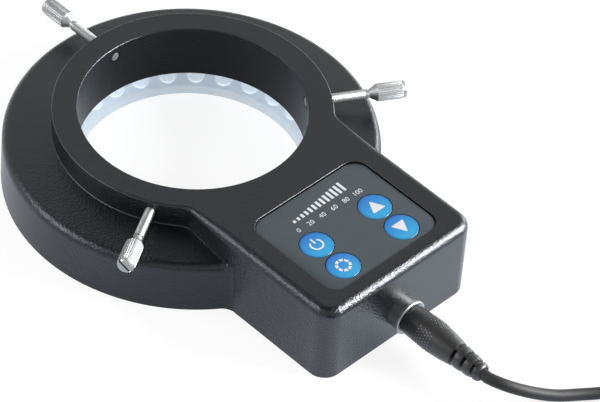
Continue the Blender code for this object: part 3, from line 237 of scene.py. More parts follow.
def upright(name, outline, bottom, top):
    """A block with straight sides over an outline."""
    return stacked(name, [[(x, y, z) for x, y in outline] for z in (bottom, top)])


def new_piece(name, mesh, finish, body, stands_for=(), sharp=35):
    """Adds a piece of the light with its finish, on its moving body."""
    piece = add_object(name, mesh)
    mesh.materials.clear()
    mesh.materials.append(finish)
    mesh.shade_smooth()
    mesh.set_sharp_from_angle(angle=math.radians(sharp))
    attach(piece, body)
    if stands_for:
        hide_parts(*stands_for)
    return piece


def evaluated(name, thing, *others):
    """The mesh that an object's modifiers make. The object and others that they used are removed."""
    bpy.context.view_layer.update()
    mesh = bpy.data.meshes.new_from_object(thing.evaluated_get(bpy.context.evaluated_depsgraph_get()))
    mesh.name = name
    for used in (thing, *others):
        bpy.data.objects.remove(used)
    return mesh


def shaped(mesh, steps):
    """A mesh after exact cuts and joins with other meshes, given as (operation, mesh) pairs."""
    blank = add_object("blank", mesh)
    tools = []
    for operation, tool_mesh in steps:
        tools.append(add_object("tool", tool_mesh))
        modifier = blank.modifiers.new(operation, "BOOLEAN")
        modifier.operation = operation
        modifier.solver = "EXACT"
        modifier.object = tools[-1]
    return evaluated(mesh.name, blank, *tools)


def copies_tree():
    """Geometry Nodes that put a copy of a part on each spot, turned as the spot says."""
    tree = bpy.data.node_groups.new("copies_of_a_part", "GeometryNodeTree")
    tree.interface.new_socket("Spots", in_out="INPUT", socket_type="NodeSocketGeometry")
    tree.interface.new_socket("Part", in_out="INPUT", socket_type="NodeSocketObject")
    tree.interface.new_socket("Copies", in_out="OUTPUT", socket_type="NodeSocketGeometry")
    given, result, part, turn, euler, lay, real = [tree.nodes.new(kind) for kind in (
        "NodeGroupInput", "NodeGroupOutput", "GeometryNodeObjectInfo", "GeometryNodeInputNamedAttribute",
        "FunctionNodeEulerToRotation", "GeometryNodeInstanceOnPoints", "GeometryNodeRealizeInstances")]
    turn.data_type = "FLOAT_VECTOR"
    turn.inputs["Name"].default_value = "turn"
    wire(tree, (given, "Spots", lay, "Points"), (given, "Part", part, "Object"),
         (part, "Geometry", lay, "Instance"), (turn, "Attribute", euler, "Euler"),
         (euler, "Rotation", lay, "Rotation"), (lay, "Instances", real, "Geometry"),
         (real, "Geometry", result, "Copies"))
    return tree


part_copies = copies_tree()


def copies(name, part_mesh, spots, place):
    """The part's mesh repeated by the tree above. Spots are (place, turn) pairs."""
    part = add_object("part", part_mesh)
    field_mesh = bpy.data.meshes.new(name + "_spots")
    field_mesh.from_pydata([spot for spot, _ in spots], [], [])
    turns = field_mesh.attributes.new("turn", "FLOAT_VECTOR", "POINT")
    for datum, (_, turn) in zip(turns.data, spots):
        datum.vector = turn
    field = add_object(name + "_field", field_mesh)
    modifier = field.modifiers.new("copies", "NODES")
    modifier.node_group = part_copies
    sockets = {item.name: item.identifier for item in part_copies.interface.items_tree}
    modifier[sockets["Part"]] = part
    mesh = evaluated(name, field, part)
    mesh.transform(place)
    return mesh


contour = smooth_way([Vector((radius * plug_radius, plug_start + along * plug_length, 0))
                      for along, radius in plug_shares], 0.0004)
tip = plug_start + plug_length
profile = [(0, plug_start), *((point.x, point.y) for point in contour), (cord_hole_rim, tip),
           (cord_hole, tip - cord_hole_depth), (0, tip - cord_hole_depth)]
slots = []
for middle in slot_sides:
    for number in range(3):
        start = plug_start + first_slot + slot_pitch * number
        sector = (round_arc((0, 0), plug_radius, middle - slot_spread, middle + slot_spread, 24)
                  + round_arc((0, 0), slot_floor, middle + slot_spread, middle - slot_spread, 24))
        slots.append(("DIFFERENCE", upright("slot", sector, start - slot_half, start + slot_half)))
plug_mesh = shaped(turned_mesh("dc_plug_body", profile, 96), slots)
plug_mesh.transform(socket_frame)
moulded = grained("moulded_soft_plastic", (0.012, 0.012, 0.013), 0.42, grain=2600, depth=0.000035)
dc_plug = new_piece("dc_plug_body", plug_mesh, moulded, "lead", ["dc_plug"])
dot = turned_mesh("grip_dot", [(0, 0.00018), (0.00014, 0.00013), (0.00018, 0), (0, -0.0001)], 8, along_x)
# Painted highlight: the grip dots are light grey so that they show as the small glints on them.
dot_painted_highlight = grained("rubbed_soft_plastic", (0.23, 0.23, 0.235), 0.35, grain=2600, depth=0.00001)
dot_spots = []
for row in range(dot_rows):
    along = plug_start + first_dots + row * dot_pitch
    radius = min(contour, key=lambda point: abs(point.y - along)).x
    for step in range(dots_round):
        angle = 2 * math.pi * (step + row % 2 / 2) / dots_round
        if (step + 2) % patch_places < patch_dots:
            dot_spots.append(((radius * math.cos(angle), radius * math.sin(angle), along), (0, 0, angle)))
grip = new_piece("plug_grip_dots", copies("plug_grip_dots", dot, dot_spots, socket_frame), dot_painted_highlight, "lead")

# Bench and light. A white paper sweep with the object's soft shadow, in a pale room. Soft boxes stand to the
# right, left and above, and two more behind show only as sheens in what is polished. In polished things the
# paper also shows a painted pool of light, brighter along +X, with painted shade under the ring.
bench_drop = 0.00005
bpy.ops.mesh.primitive_plane_add(size=6)
bench = bpy.context.object
bench.name = "bench"
bench.data.transform(Matrix.Translation((0, 0, -bench_drop)))
paper = bpy.data.materials.new("white_paper")
paper.use_nodes = True
tree = paper.node_tree
tree.nodes.clear()
ray, seen, whole, plain, shown, glow, both, choice, out = add_nodes(
    tree, "LightPath", "Math", "Math", "BsdfDiffuse", "BsdfDiffuse", "Emission", "AddShader", "MixShader",
    "OutputMaterial")
# Painted light: a glowing pool on the paper, seen only in glossy rays, brighter along +X and tinted blue.
where, towards, spread, from_ring, clear, painted_pool_strength, painted_light_pool, lit, polished = add_nodes(
    tree, "TexCoord", "VectorMath", "MapRange", "VectorMath", "MapRange", "Math", "Emission", "AddShader",
    "MixShader")
seen.operation = whole.operation = painted_pool_strength.operation = "MAXIMUM"
towards.operation, from_ring.operation = "DOT_PRODUCT", "DISTANCE"
towards.inputs[1].default_value = (1.0, 0.2, 0)
from_ring.inputs[1].default_value = ring_axis
spread.inputs["From Max"].default_value = 0.075
# Painted shade: near the ring's axis the pool stays dark, growing in from 32 mm out to 50 mm.
clear.inputs["From Min"].default_value = 0.032
clear.inputs["From Max"].default_value = 0.05
clear.inputs["To Max"].default_value = 0.45
painted_light_pool.inputs["Color"].default_value = (0.84, 0.92, 1.08, 1)
plain.inputs["Color"].default_value = (0.8, 0.8, 0.8, 1)
shown.inputs["Color"].default_value = (0.24, 0.24, 0.24, 1)
glow.inputs["Strength"].default_value = 0.84
wire(tree, (ray, "Is Camera Ray", seen, 0), (ray, "Is Glossy Ray", seen, 1), (seen, 0, whole, 0),
     (ray, "Is Transmission Ray", whole, 1), (shown, 0, both, 0), (glow, 0, both, 1),
     (whole, 0, choice, "Fac"), (plain, 0, choice, 1), (both, 0, choice, 2), (where, "Object", towards, 0),
     (towards, "Value", spread, "Value"), (where, "Object", from_ring, 0),
     (from_ring, "Value", clear, "Value"), (spread, "Result", painted_pool_strength, 0), (clear, "Result", painted_pool_strength, 1),
     (painted_pool_strength, "Value", painted_light_pool, "Strength"), (plain, 0, lit, 0), (painted_light_pool, 0, lit, 1),
     (ray, "Is Glossy Ray", polished, "Fac"), (choice, 0, polished, 1), (lit, 0, polished, 2),
     (polished, 0, out, "Surface"))
bench.data.materials.append(paper)

room = bpy.data.worlds.new("pale_room")
bpy.context.scene.world = room
room.use_nodes = True
tree = room.node_tree
tree.nodes.clear()
ray, seen, way_up, height, dim, soft, mirrored, white, first_choice, last_choice, out = add_nodes(
    tree, "LightPath", "Math", "TexCoord", "SeparateXYZ", "ValToRGB", "Background", "Background",
    "Background", "MixShader", "MixShader", "OutputWorld")
seen.operation = "MAXIMUM"
soft.inputs["Color"].default_value = (0.97, 0.98, 1.0, 1)
soft.inputs["Strength"].default_value = 0.32
for place, level in ((0.55, 1.0), (0.68, 1.6), (0.74, 1.5), (0.86, 0.5)):
    dim.color_ramp.elements.new(place).color = (level, level, level, 1)
dim.color_ramp.elements[0].color = (1, 1, 1, 1)
dim.color_ramp.elements[-1].color = (0.12, 0.12, 0.12, 1)
wire(tree, (way_up, "Generated", height, 0), (height, "Z", dim, "Fac"), (dim, "Color", mirrored, "Strength"),
     (ray, "Is Camera Ray", seen, 0), (ray, "Is Transmission Ray", seen, 1),
     (ray, "Is Glossy Ray", first_choice, "Fac"), (soft, 0, first_choice, 1), (mirrored, 0, first_choice, 2),
     (seen, 0, last_choice, "Fac"), (first_choice, 0, last_choice, 1), (white, 0, last_choice, 2),
     (last_choice, 0, out, "Surface"))

for name, way_out, reach, size, power in (("right_box", (0.704, 0.52, 0.484), 0.9, 0.24, 6.5),
                                          ("right_sheen", (0.62, 0.66, 0.42), 0.89, 0.54, 29.0),
                                          ("rear_sheen", (-0.02, 1.0, 0.14), 0.9, 0.3, 3.4),
                                          ("left_box", (-0.484, -0.704, 0.52), 0.9, 0.4, 3.6),
                                          ("top_box", (0.15, -0.1, 1.0), 1.0, 0.8, 0.9)):
    lamp = bpy.data.lights.new(name, "AREA")
    lamp.shape = "SQUARE"
    lamp.size = size
    lamp.energy = power
    aim = Vector(way_out).normalized()
    holder = add_object(name, lamp)
    holder.visible_glossy = name != "top_box"
    holder.visible_diffuse = "sheen" not in name
    holder.matrix_world = Matrix.Translation(aim * reach) @ aim.to_track_quat("Z", "Y").to_matrix().to_4x4()

# Housing. One aluminium pressure casting: the clamping collar, the drafted lamp flange and the
# control box, powder coated black with a fine orange peel. The bore's rim is lightly broken.
bore_radius, collar_radius, flange_radius = 0.0305, 0.0373, 0.0506
housing_height, step_height, wall = 0.024, 0.017, 0.0026
box_half, box_reach, box_corner, junction = 0.0265, 0.0783, 0.005, 0.0045
blend_length, blend_share, side_step, tuck = 0.012, 0.4, 0.00006, 0.0005
collar_edge, added_box_edge, rim_edge, fillet = 0.0005, 0.0021, 0.00035, 0.00045
flange_draft, flange_drop, flange_edge = 0.0003, 0.0018, 0.0026
skirt_wall, skirt_foot, ring_roof, rib_top, overcut = 0.0015, 0.008, 0.0132, 0.0127, 0.002
cavity_start, cavity_end, cavity_half = 0.0399, box_reach - wall, box_half - wall
cavity_corner, cavity_roof = 0.0024, 0.0213
panel_low, panel_high, panel_corner = (0.0413, -0.01935), (0.0732, 0.01935), 0.0045
recess_floor, lip = 0.0227, 0.00022
socket_hole, stem_hole, clamp_hole, clamp_height = 0.00455, 0.0018, 0.00155, 0.0205
clamp_angles = (180, 60, -60)
key_spots = {"power": (0.05736, -0.01044), "mode": (0.06706, -0.01044), "up": (0.05736, 0.01044),
             "down": (0.06706, 0.01044)}
on_ring = Matrix.Translation(ring_axis)


def quarter(steps):
    """Angles from nothing to a quarter turn, ends included."""
    return [math.pi / 2 * step / steps for step in range(steps + 1)]


def soft_rectangle(low, high, radius, steps=10):
    """A rectangle between two corners, with round corners."""
    corners = ((high[0] - radius, low[1] + radius), (high[0] - radius, high[1] - radius),
               (low[0] + radius, high[1] - radius), (low[0] + radius, low[1] + radius))
    return [point for i, corner in enumerate(corners)
            for point in round_arc(corner, radius, math.pi / 2 * (i - 1), math.pi / 2 * i, steps)]


def rectangle_rings(low, high, radius, levels):
    """Soft rectangles at (height, growth) levels."""
    return [[(x, y, z) for x, y in soft_rectangle((low[0] - grow, low[1] - grow),
                                                  (high[0] + grow, high[1] + grow), radius + grow)]
            for z, grow in levels]


def keyhole_line(radius, half, reach):
    """Outline of ring and box as (x, y, normal x, normal y, box share)."""
    turn = math.pi / 2
    middle_x = math.sqrt((radius + junction) ** 2 - (half + junction) ** 2)
    middle_y = half + junction
    leaving = math.atan2(middle_y, middle_x)
    corner = (reach - box_corner, half - box_corner)
    side = [(x, y, (x - corner[0]) / box_corner, (y - corner[1]) / box_corner, 1)
            for x, y in round_arc(corner, box_corner, 0, turn, 12)]
    for step in range(6, 0, -1):
        share = blend_share + (1 - blend_share) * step / 6
        side.append((middle_x + blend_length * step / 6, half, 0, 1, share))
    for step, (x, y) in enumerate(round_arc((middle_x, middle_y), junction, -turn, leaving - math.pi, 12)):
        share = blend_share * (1 - step / 12)
        side.append((x, y, (middle_x - x) / junction, (middle_y - y) / junction, share))
    for x, y in round_arc((0, 0), radius, leaving, math.pi, 80)[1:-1]:
        side.append((x, y, x / radius, y / radius, 0))
    other_side = [(x, -y, nx, -ny, share) for x, y, nx, ny, share in reversed(side)]
    return side + [(-radius, 0, -1, 0, 0)] + other_side


def drill(radius, low, high, steps, place):
    """A cut for a round hole between two heights, then put in place."""
    line = [(0, low), (radius, low), (radius, high), (0, high)]
    return "DIFFERENCE", turned_mesh("drill", line, steps, place)


outline = keyhole_line(collar_radius, box_half, box_reach)
rings = [[(x, y, 0) for x, y, *_ in outline]]
for angle in quarter(8):
    ring = []
    for x, y, nx, ny, share in outline:
        edge = collar_edge + added_box_edge * share
        inset = edge * (1 - math.cos(angle))
        ring.append((x - inset * nx, y - inset * ny, housing_height - edge * (1 - math.sin(angle))))
    rings.append(ring)
upper = stacked("upper_casting", rings)
levels = [(flange_radius, 0)]
levels += [(flange_radius - flange_draft - flange_edge * (1 - math.cos(a)),
            step_height - flange_drop - flange_edge * (1 - math.sin(a))) for a in quarter(8)]
levels += [(collar_radius + fillet * (1 - math.cos(a)), step_height + fillet * (1 - math.sin(a)))
           for a in (math.pi / 2 * (1 - step / 6) for step in range(6))]
levels.append((collar_radius - tuck, step_height + fillet * 0.8))
lower = stacked("lamp_flange", [[(x, y, z) for x, y, *_ in
                                 keyhole_line(radius, box_half - side_step, (flange_radius + box_reach) / 2)]
                                for radius, z in levels])
bore_rim = [(bore_radius + rim_edge * (1 - math.cos(a)), housing_height - rim_edge * (1 - math.sin(a)))
            for a in quarter(6)]
inside = [(0, -overcut), (flange_radius - wall, -overcut), (flange_radius - wall, ring_roof),
          (bore_radius + skirt_wall, ring_roof), (bore_radius + skirt_wall, skirt_foot),
          (bore_radius, skirt_foot), *bore_rim, (bore_radius + rim_edge, housing_height + overcut),
          (0, housing_height + overcut)]
cavity = soft_rectangle((cavity_start, -cavity_half), (cavity_end, cavity_half), cavity_corner)
spread = math.asin((cavity_half + wall / 2) / flange_radius)
rib = (round_arc((0, 0), flange_radius, -spread, spread, 16)
       + round_arc((0, 0), flange_radius - wall + tuck, spread, -spread, 16))
lip_levels = [(housing_height - lip * (1 - math.sin(a)), lip * (1 - math.cos(a))) for a in quarter(5)]
recess = rectangle_rings(panel_low, panel_high, panel_corner,
                         ((recess_floor, 0), *lip_levels, (housing_height + overcut, lip)))
clamp_frames = [Matrix.Rotation(math.radians(angle), 4, "Z")
                @ Matrix.Translation((bore_radius, 0, clamp_height)) @ along_x for angle in clamp_angles]
cuts = [("UNION", lower), ("DIFFERENCE", turned_mesh("turned_inside", inside, 180)),
        ("DIFFERENCE", upright("box_inside", cavity, -overcut, cavity_roof)),
        ("UNION", upright("rib", rib, 0, rib_top)), ("DIFFERENCE", stacked("panel_recess", recess)),
        drill(socket_hole, box_reach - 0.005, box_reach + overcut, 64,
              Matrix.Translation((0, 0, jack_height)) @ along_x)]
cuts += [drill(stem_hole, 0.0193, 0.0247, 32, Matrix.Translation((x, y, 0))) for x, y in key_spots.values()]
cuts += [drill(clamp_hole, -overcut, 0.009, 32, clamp_frame) for clamp_frame in clamp_frames]
casting = shaped(upper, cuts)
casting.transform(on_ring)
powder_coat = grained("black_powder_coat", (0.0032, 0.0033, 0.0037), 0.26, grain=1750, depth=0.00016)
powder_coat.node_tree.nodes["Principled BSDF"].inputs["Specular Tint"].default_value = (0.86, 0.91, 1.0, 1)
housing = new_piece("housing_casting", casting, powder_coat, "housing",
                    ["upper_housing"], 32)
even = housing.modifiers.new("even_shading", "WEIGHTED_NORMAL")
even.keep_sharp = True

# Posts inside the casting. Cast with it, they stand down from its roof and take the self-cutting screws of
# the lamp cover, the ring board, the bottom plate and the control board.
lamp_turn, post_edge = 2 * math.pi / 32, 0.0003


def fixings_round(radius, *steps):
    """Places round the ring, the same on both sides of the light."""
    return [(radius * math.cos(a), radius * math.sin(a), 0) for a in
            (side * step * lamp_turn for side in (1, -1) for step in steps)]


def eased(profile, radius, parts=4):
    """Rounds the corners of an open profile, each as far as its sides allow."""
    points = [Vector(point) for point in profile]
    soft = [points[0]]
    for before, corner, after in zip(points, points[1:], points[2:]):
        reach = min(radius, (before - corner).length * 0.45, (after - corner).length * 0.45)
        a = corner + (before - corner).normalized() * reach
        b = corner + (after - corner).normalized() * reach
        for part in range(parts + 1):
            t = part / parts
            soft.append(a * (1 - t) ** 2 + corner * 2 * t * (1 - t) + b * t ** 2)
    return [tuple(point) for point in soft + [points[-1]]]


cover_fixings = fixings_round(0.0447, 4.5, 12.5)
board_fixings = fixings_round(0.04295, 6.5, 14.5)
plate_fixings = [(x, side * 0.0202, 0) for x in (0.0504, 0.072) for side in (1, -1)]
control_fixings = [(0.04425, 0.0134, 0), (0.04425, -0.0134, 0), (0.05305, 0, 0)]
for name, radius, hole, foot, roof, places in (
        ("cover_posts", 0.0024, 0.0013, 0.0015, 0.0138, cover_fixings),
        ("ring_board_bosses", 0.0019, 0.0013, 0.0115, 0.0138, board_fixings),
        ("plate_posts", 0.00265, 0.00155, 0.0023, 0.0218, plate_fixings),
        ("control_bosses", 0.00265, 0.00155, 0.0165, 0.0218, control_fixings)):
    post_line = eased([(hole, roof), (hole, foot), (radius, foot), (radius, roof)], post_edge)
    posts = copies(name, turned_mesh("post", post_line, 32), [(spot, (0, 0, 0)) for spot in places], on_ring)
    new_piece(name, posts, powder_coat, "housing")

# Clamping screws. Three turned brass screws, nickel plated: a knurled head with a slot, a cone shoulder, a
# plain neck and a fine thread through the collar. A white nylon tip on each bears on the microscope's barrel.
nickel = grained("nickel_plate", (0.33, 0.34, 0.34), 0.47, metallic=1.0, grain=5000, depth=0.000003,
                 uneven=0.08)
nylon = grained("white_nylon", (0.24, 0.24, 0.24), 0.5, grain=1500, depth=0.00001)
thread_pitch, thread_radius, thread_depth = 0.00045, 0.00136, 0.00013
grip_radius, knurl_ridges, ridge_share = 0.0024, 26, 0.9
driver_slot, slot_height = (0.007, 0.0006, 0.002), 0.0278


def threaded_rod(name, radius, depth, pitch, low, high, steps=20):
    """A rod with a right-hand thread: each point's radius follows its place on the helix."""
    rings = []
    rows = math.ceil((high - low) / pitch * 6)
    for row in range(rows + 1):
        z = low + (high - low) * row / rows
        cut_in = depth * min(1, (z - low) / pitch, (high - z) / pitch)
        ring = []
        for i in range(steps):
            here = radius - cut_in * abs(2 * ((z / pitch - i / steps) % 1) - 1)
            a = 2 * math.pi * i / steps
            ring.append((here * math.cos(a), here * math.sin(a), z))
        rings.append(ring)
    return stacked(name, rings)


def knurled_grip(name, radius, ridges, levels):
    """A straight-knurled grip through (height, radius lost, ridge depth) levels."""
    rings = []
    for height, less, depth in levels:
        ring = []
        for i in range(ridges * 5):
            here = radius - less - depth * (0, 0, 0, ridge_share, ridge_share)[i % 5]
            a = 2 * math.pi * i / (ridges * 5)
            ring.append((here * math.cos(a), here * math.sin(a), height))
        rings.append(ring)
    return stacked(name, rings)


def one_mesh(name, meshes, place=on_ring):
    """Several closed meshes as one."""
    bm = bmesh.new()
    for mesh in meshes:
        bm.from_mesh(mesh)
    return put(bm, name, place)


grip_levels = ((0.0193, 0.00032, 0), (0.0195, 0.00012, 0.00002), (0.0197, 0, 0.00017), (0.0265, 0, 0.00017),
               (0.0266, 0.00012, 0.00002), (0.02665, 0.00014, 0), (0.0273, 0.00014, 0), (0.0277, 0.00045, 0))
neck_line = [(0, 0.0163), (0.00112, 0.0163), (0.00112, 0.0176), (0.00122, 0.01775), (0.00208, 0.0193),
             (0.00205, 0.0196), (0, 0.0196)]
tip_line = eased([(0, 0), (0.00125, 0), (0.00125, 0.0013), (0, 0.0013)], 0.0003)
for number, (clamp_frame, slot_angle) in enumerate(zip(clamp_frames, (20, 65, 44)), 1):
    bm = bmesh.new()
    bmesh.ops.create_cube(bm, size=1, matrix=Matrix.Rotation(math.radians(slot_angle), 4, "Z")
                          @ Matrix.Translation((0, 0, slot_height)) @ Matrix.Diagonal((*driver_slot, 1)))
    grip_mesh = shaped(knurled_grip("knurled_grip", grip_radius, knurl_ridges, grip_levels),
                       [("DIFFERENCE", put(bm, "driver_slot"))])
    shank = threaded_rod("shank", thread_radius, thread_depth, thread_pitch, 0.0016, 0.0167)
    screw_mesh = one_mesh(f"clamping_screw_{number}", [grip_mesh, turned_mesh("neck", neck_line, 48), shank],
                          on_ring @ clamp_frame)
    new_piece(f"clamping_screw_{number}", screw_mesh, nickel, f"screw_{number}",
              [f"thumb_screw_{number}"], 28)
    pad = turned_mesh("nylon_tip", tip_line, 40, on_ring @ clamp_frame)
    new_piece(f"nylon_tip_{number}", pad, nylon, f"tip_{number}", [f"screw_tip_{number}"])

# Lamp cover. One frosted polycarbonate moulding: a flat ring under the lamps and a low wall up to the bore's
# skirt. Four sunk screws hold it to the casting's posts. A faint painted glow brightens it as if lit through.
frosted = grained("frosted_polycarbonate", (0.45, 0.53, 0.60), 0.25, grain=2200, depth=0.000012, uneven=0.05)
shader = frosted.node_tree.nodes["Principled BSDF"]
shader.inputs["Alpha"].default_value = 0.56
# Painted light: a faint glow on the cover, which is no lamp.
shader.inputs["Emission Color"].default_value = (0.78, 0.89, 1.0, 1)
shader.inputs["Emission Strength"].default_value = 0.29
cover_inner, cover_outer, cover_wall, cover_top = 0.03065, 0.0477, 0.0012, 0.0077
cover_line = [(cover_inner, cover_top), (cover_inner, 0.0003), (cover_inner + 0.0003, 0),
              (cover_outer - 0.0004, 0), (cover_outer, 0.0004), (cover_outer, cover_wall),
              (cover_inner + cover_wall + 0.0008, cover_wall),
              (cover_inner + cover_wall, cover_wall + 0.0008), (cover_inner + cover_wall, cover_top - 0.0002),
              (cover_inner + cover_wall - 0.0002, cover_top)]


def sunk_holes(spots, rim, hole, depth, top):
    """Cuts for screws whose heads lie flush underneath."""
    line = [(0, -0.001), (rim, -0.001), (rim, 0), (hole, depth), (hole, top), (0, top)]
    return [("DIFFERENCE", turned_mesh("sink", line, 40, Matrix.Translation(spot))) for spot in spots]


cover_mesh = shaped(turned_mesh("lamp_cover", cover_line, 180),
                    sunk_holes(cover_fixings, 0.0022, 0.0013, 0.0009, 0.003))
cover_mesh.transform(on_ring)
new_piece("lamp_cover", cover_mesh, frosted, "housing", ["diffuser_ring"])

# Ring board. A white-masked circuit ring with two rows of 5 mm lamps, moulded in clear epoxy and soldered in
# with their domes down. Four pan screws hold it to its bosses.
board_inner, board_outer, board_low, board_high = 0.0323, 0.045, 0.0096, 0.0112
lamp_radius, lamp_middle, notch = 0.0025, 0.004, 0.0027
white_mask = grained("white_solder_mask", (0.74, 0.77, 0.80), 0.35, grain=1200, depth=0.00001)
board_line = [(board_inner, board_low), (board_outer, board_low), (board_outer, board_high),
              (board_inner, board_high)]
ring_board = shaped(turned_mesh("ring_board", board_line, 180),
                    [drill(notch, 0.008, 0.013, 32, Matrix.Translation(spot)) for spot in cover_fixings])
ring_board.transform(on_ring)
new_piece("ring_board", ring_board, white_mask, "housing", ["led_board"])
epoxy = grained("clear_epoxy", (0.86, 0.91, 0.98), 0.1, grain=900, depth=0.000005, uneven=0.04)
tree = epoxy.node_tree
shader = tree.nodes["Principled BSDF"]
shader.inputs["Emission Color"].default_value = (0.85, 0.92, 1.0, 1)
# Painted glow: the lamp domes glow, most where they face down, a painted highlight kept out of diffuse rays.
surface, facing, tip_glow = add_nodes(tree, "NewGeometry", "SeparateXYZ", "MapRange")
tip_glow.inputs["From Max"].default_value = -0.6
tip_glow.inputs["To Min"].default_value = 0.9
tip_glow.inputs["To Max"].default_value = 3.3
wire(tree, (surface, "Normal", facing, 0), (facing, "Z", tip_glow, "Value"),
     (tip_glow, "Result", shader, "Emission Strength"))
lamp_line = [(lamp_radius * math.sin(a), lamp_middle - lamp_radius * math.cos(a)) for a in quarter(8)]
lamp_line += [(lamp_radius, 0.0084), (0.00275, 0.0085), (0.00275, 0.0094), (0, 0.0094)]
lamp_spots = [((radius * math.cos(a), radius * math.sin(a), 0), (0, 0, a))
              for count, radius, late in ((28, 0.03465, 0.5), (32, 0.04025, 0))
              for a in (2 * math.pi * (i + late) / count for i in range(count))]
lamps = copies("lamp_rows", turned_mesh("lamp", lamp_line, 24), lamp_spots, on_ring)
lamp_rows = new_piece("lamp_rows", lamps, epoxy, "housing", sharp=50)
lamp_rows.visible_diffuse = False

# Keypad. A slate-grey polyester film, glued into the casting's recess, with a round window for each key.
# A plain brightness scale is screen printed in white at the ring's end.
film_finish = grained("slate_polyester", (0.047, 0.065, 0.076), 0.34, grain=3500, depth=0.00001, uneven=0.06)
print_finish = grained("white_screen_print", (0.76, 0.78, 0.80), 0.5, grain=3000, depth=0.000004,
                       uneven=0.04)
film_low, film_high, film_corner, film_top = (0.0415, -0.01915), (0.073, 0.01915), 0.0043, 0.0235
window, print_thickness = 0.00465, 0.000012
film_rings = rectangle_rings(film_low, film_high, film_corner, (
    (0.023, 0), (0.02336, 0), (0.02346, -0.00004), (film_top, -0.00014)))
windows = [drill(window, 0.022, 0.025, 72, Matrix.Translation((x, y, 0))) for x, y in key_spots.values()]
film_mesh = shaped(stacked("keypad_film", film_rings), windows)
film_mesh.transform(on_ring)
new_piece("keypad_film", film_mesh, film_finish, "housing", ["keypad_overlay"])


def figures(name, words, size, spot):
    """Plain figures as a thin print that reads towards +Y, centred on a spot."""
    text = bpy.data.curves.new(name, "FONT")
    text.body = words
    text.size = size
    text.align_x = "CENTER"
    text.extrude = print_thickness / 2
    text.resolution_u = 3
    mesh = evaluated(name, add_object(name, text))
    mesh.transform(Matrix.Translation((*spot, film_top + print_thickness / 2))
                   @ Matrix.Rotation(math.pi / 2, 4, "Z"))
    return mesh


scale_foot, bar_half, bar_pitch = 0.0482, 0.0004, 0.0015
scale_marks = []
for step in range(13):
    across = -0.009 + bar_pitch * step
    tall = 0.0009 + 0.0026 * step / 12
    bar = soft_rectangle((scale_foot - tall, across - bar_half), (scale_foot, across + bar_half), 0.00015, 3)
    scale_marks.append(upright("bar", bar, film_top, film_top + print_thickness))
for number, share in enumerate((0, 20, 40, 60, 80, 100)):
    scale_marks.append(figures("figures", str(share), 0.0021, (0.0514, -0.0103 + 0.0042 * number)))
new_piece("brightness_scale", one_mesh("brightness_scale", scale_marks), print_finish, "housing",
          sharp=60)

# Keys. Four blue domed caps, each with a stem down to its switch. Their blue is painted lighter towards one
# side, a painted sheen, and darker towards the rim, painted shade. The symbols are printed in white.
blue = bpy.data.materials.new("blue_key_dome")
blue.use_nodes = True
tree = blue.node_tree
shader = tree.nodes["Principled BSDF"]
shader.inputs["Roughness"].default_value = 0.3
side, rim, painted_sheen_ramp, shade, where, fine, bump = add_nodes(
    tree, "Attribute", "Attribute", "ValToRGB", "Mix", "TexCoord", "TexNoise", "Bump")
side.attribute_name, rim.attribute_name = "side", "rim"
painted_sheen_ramp.color_ramp.elements[0].color = (0.006, 0.165, 0.56, 1)
painted_sheen_ramp.color_ramp.elements[1].color = (0.03, 0.40, 0.71, 1)
shade.data_type = "RGBA"
shade.blend_type = "MULTIPLY"
shade.inputs[7].default_value = (0.25, 0.42, 0.6, 1)
fine.inputs["Scale"].default_value = 3000
bump.inputs["Distance"].default_value = 0.000008
wire(tree, (side, "Fac", painted_sheen_ramp, "Fac"), (rim, "Fac", shade, 0), (painted_sheen_ramp, "Color", shade, 6),
     (shade, 2, shader, "Base Color"), (where, "Object", fine, "Vector"), (fine, "Fac", bump, "Height"),
     (bump, "Normal", shader, "Normal"))
key_radius, key_side_top, key_top, symbol_thickness = 0.00445, 0.02342, 0.0236, 0.000015
cap_line = [(0, 0.0205), (0.0015, 0.0205), (0.0015, 0.0231), (key_radius, 0.0231),
            (key_radius, key_side_top)]
cap_line += [(key_radius - 0.00025 * (1 - math.cos(a)), key_side_top + 0.00012 * math.sin(a))
             for a in quarter(4)[1:]]
cap_line += [(share * key_radius, key_top - 0.00006 * share ** 2) for share in (0.8, 0.6, 0.4, 0.2)]
cap_line.append((0, key_top))


def printed(outline):
    """A thin print on a key's top."""
    return upright("print", outline, key_top, key_top + symbol_thickness)


def dash(middle, radius, width, start, end):
    """A printed piece of a ring, between two angles in degrees."""
    start, end = math.radians(start), math.radians(end)
    steps = max(3, round(abs(end - start) * 8))
    return printed(round_arc(middle, radius + width / 2, start, end, steps)
                   + round_arc(middle, radius - width / 2, end, start, steps))


def symbol(key, x, y):
    """The white print on a key: power, segments for the lit part of the ring, or an arrow up or down."""
    if key == "power":
        bar = [(x - 0.0004, y - 0.00025), (x - 0.0004, y + 0.00025), (x - 0.0024, y + 0.00025),
               (x - 0.0024, y - 0.00025)]
        return [dash((x, y), 0.0017, 0.0005, -140, 140), printed(bar)]
    if key == "mode":
        return [dash((x, y), 0.0018, 0.0008, 45 * i + 6, 45 * i + 39) for i in range(8)]
    point = -1 if key == "up" else 1
    corners = [Vector((x + point * 0.0023, y)), Vector((x - point * 0.00175, y + 0.00215)),
               Vector((x - point * 0.00175, y - 0.00215))]
    outline = []
    for i, corner in enumerate(corners):
        before, after = corners[i - 1], corners[(i + 1) % 3]
        a, b = (before - corner).normalized() * 0.0005, (after - corner).normalized() * 0.0005
        outline += [tuple(corner + a * (1 - t) ** 2 + b * t ** 2) for t in (0, 0.25, 0.5, 0.75, 1)]
    return [printed(outline)]


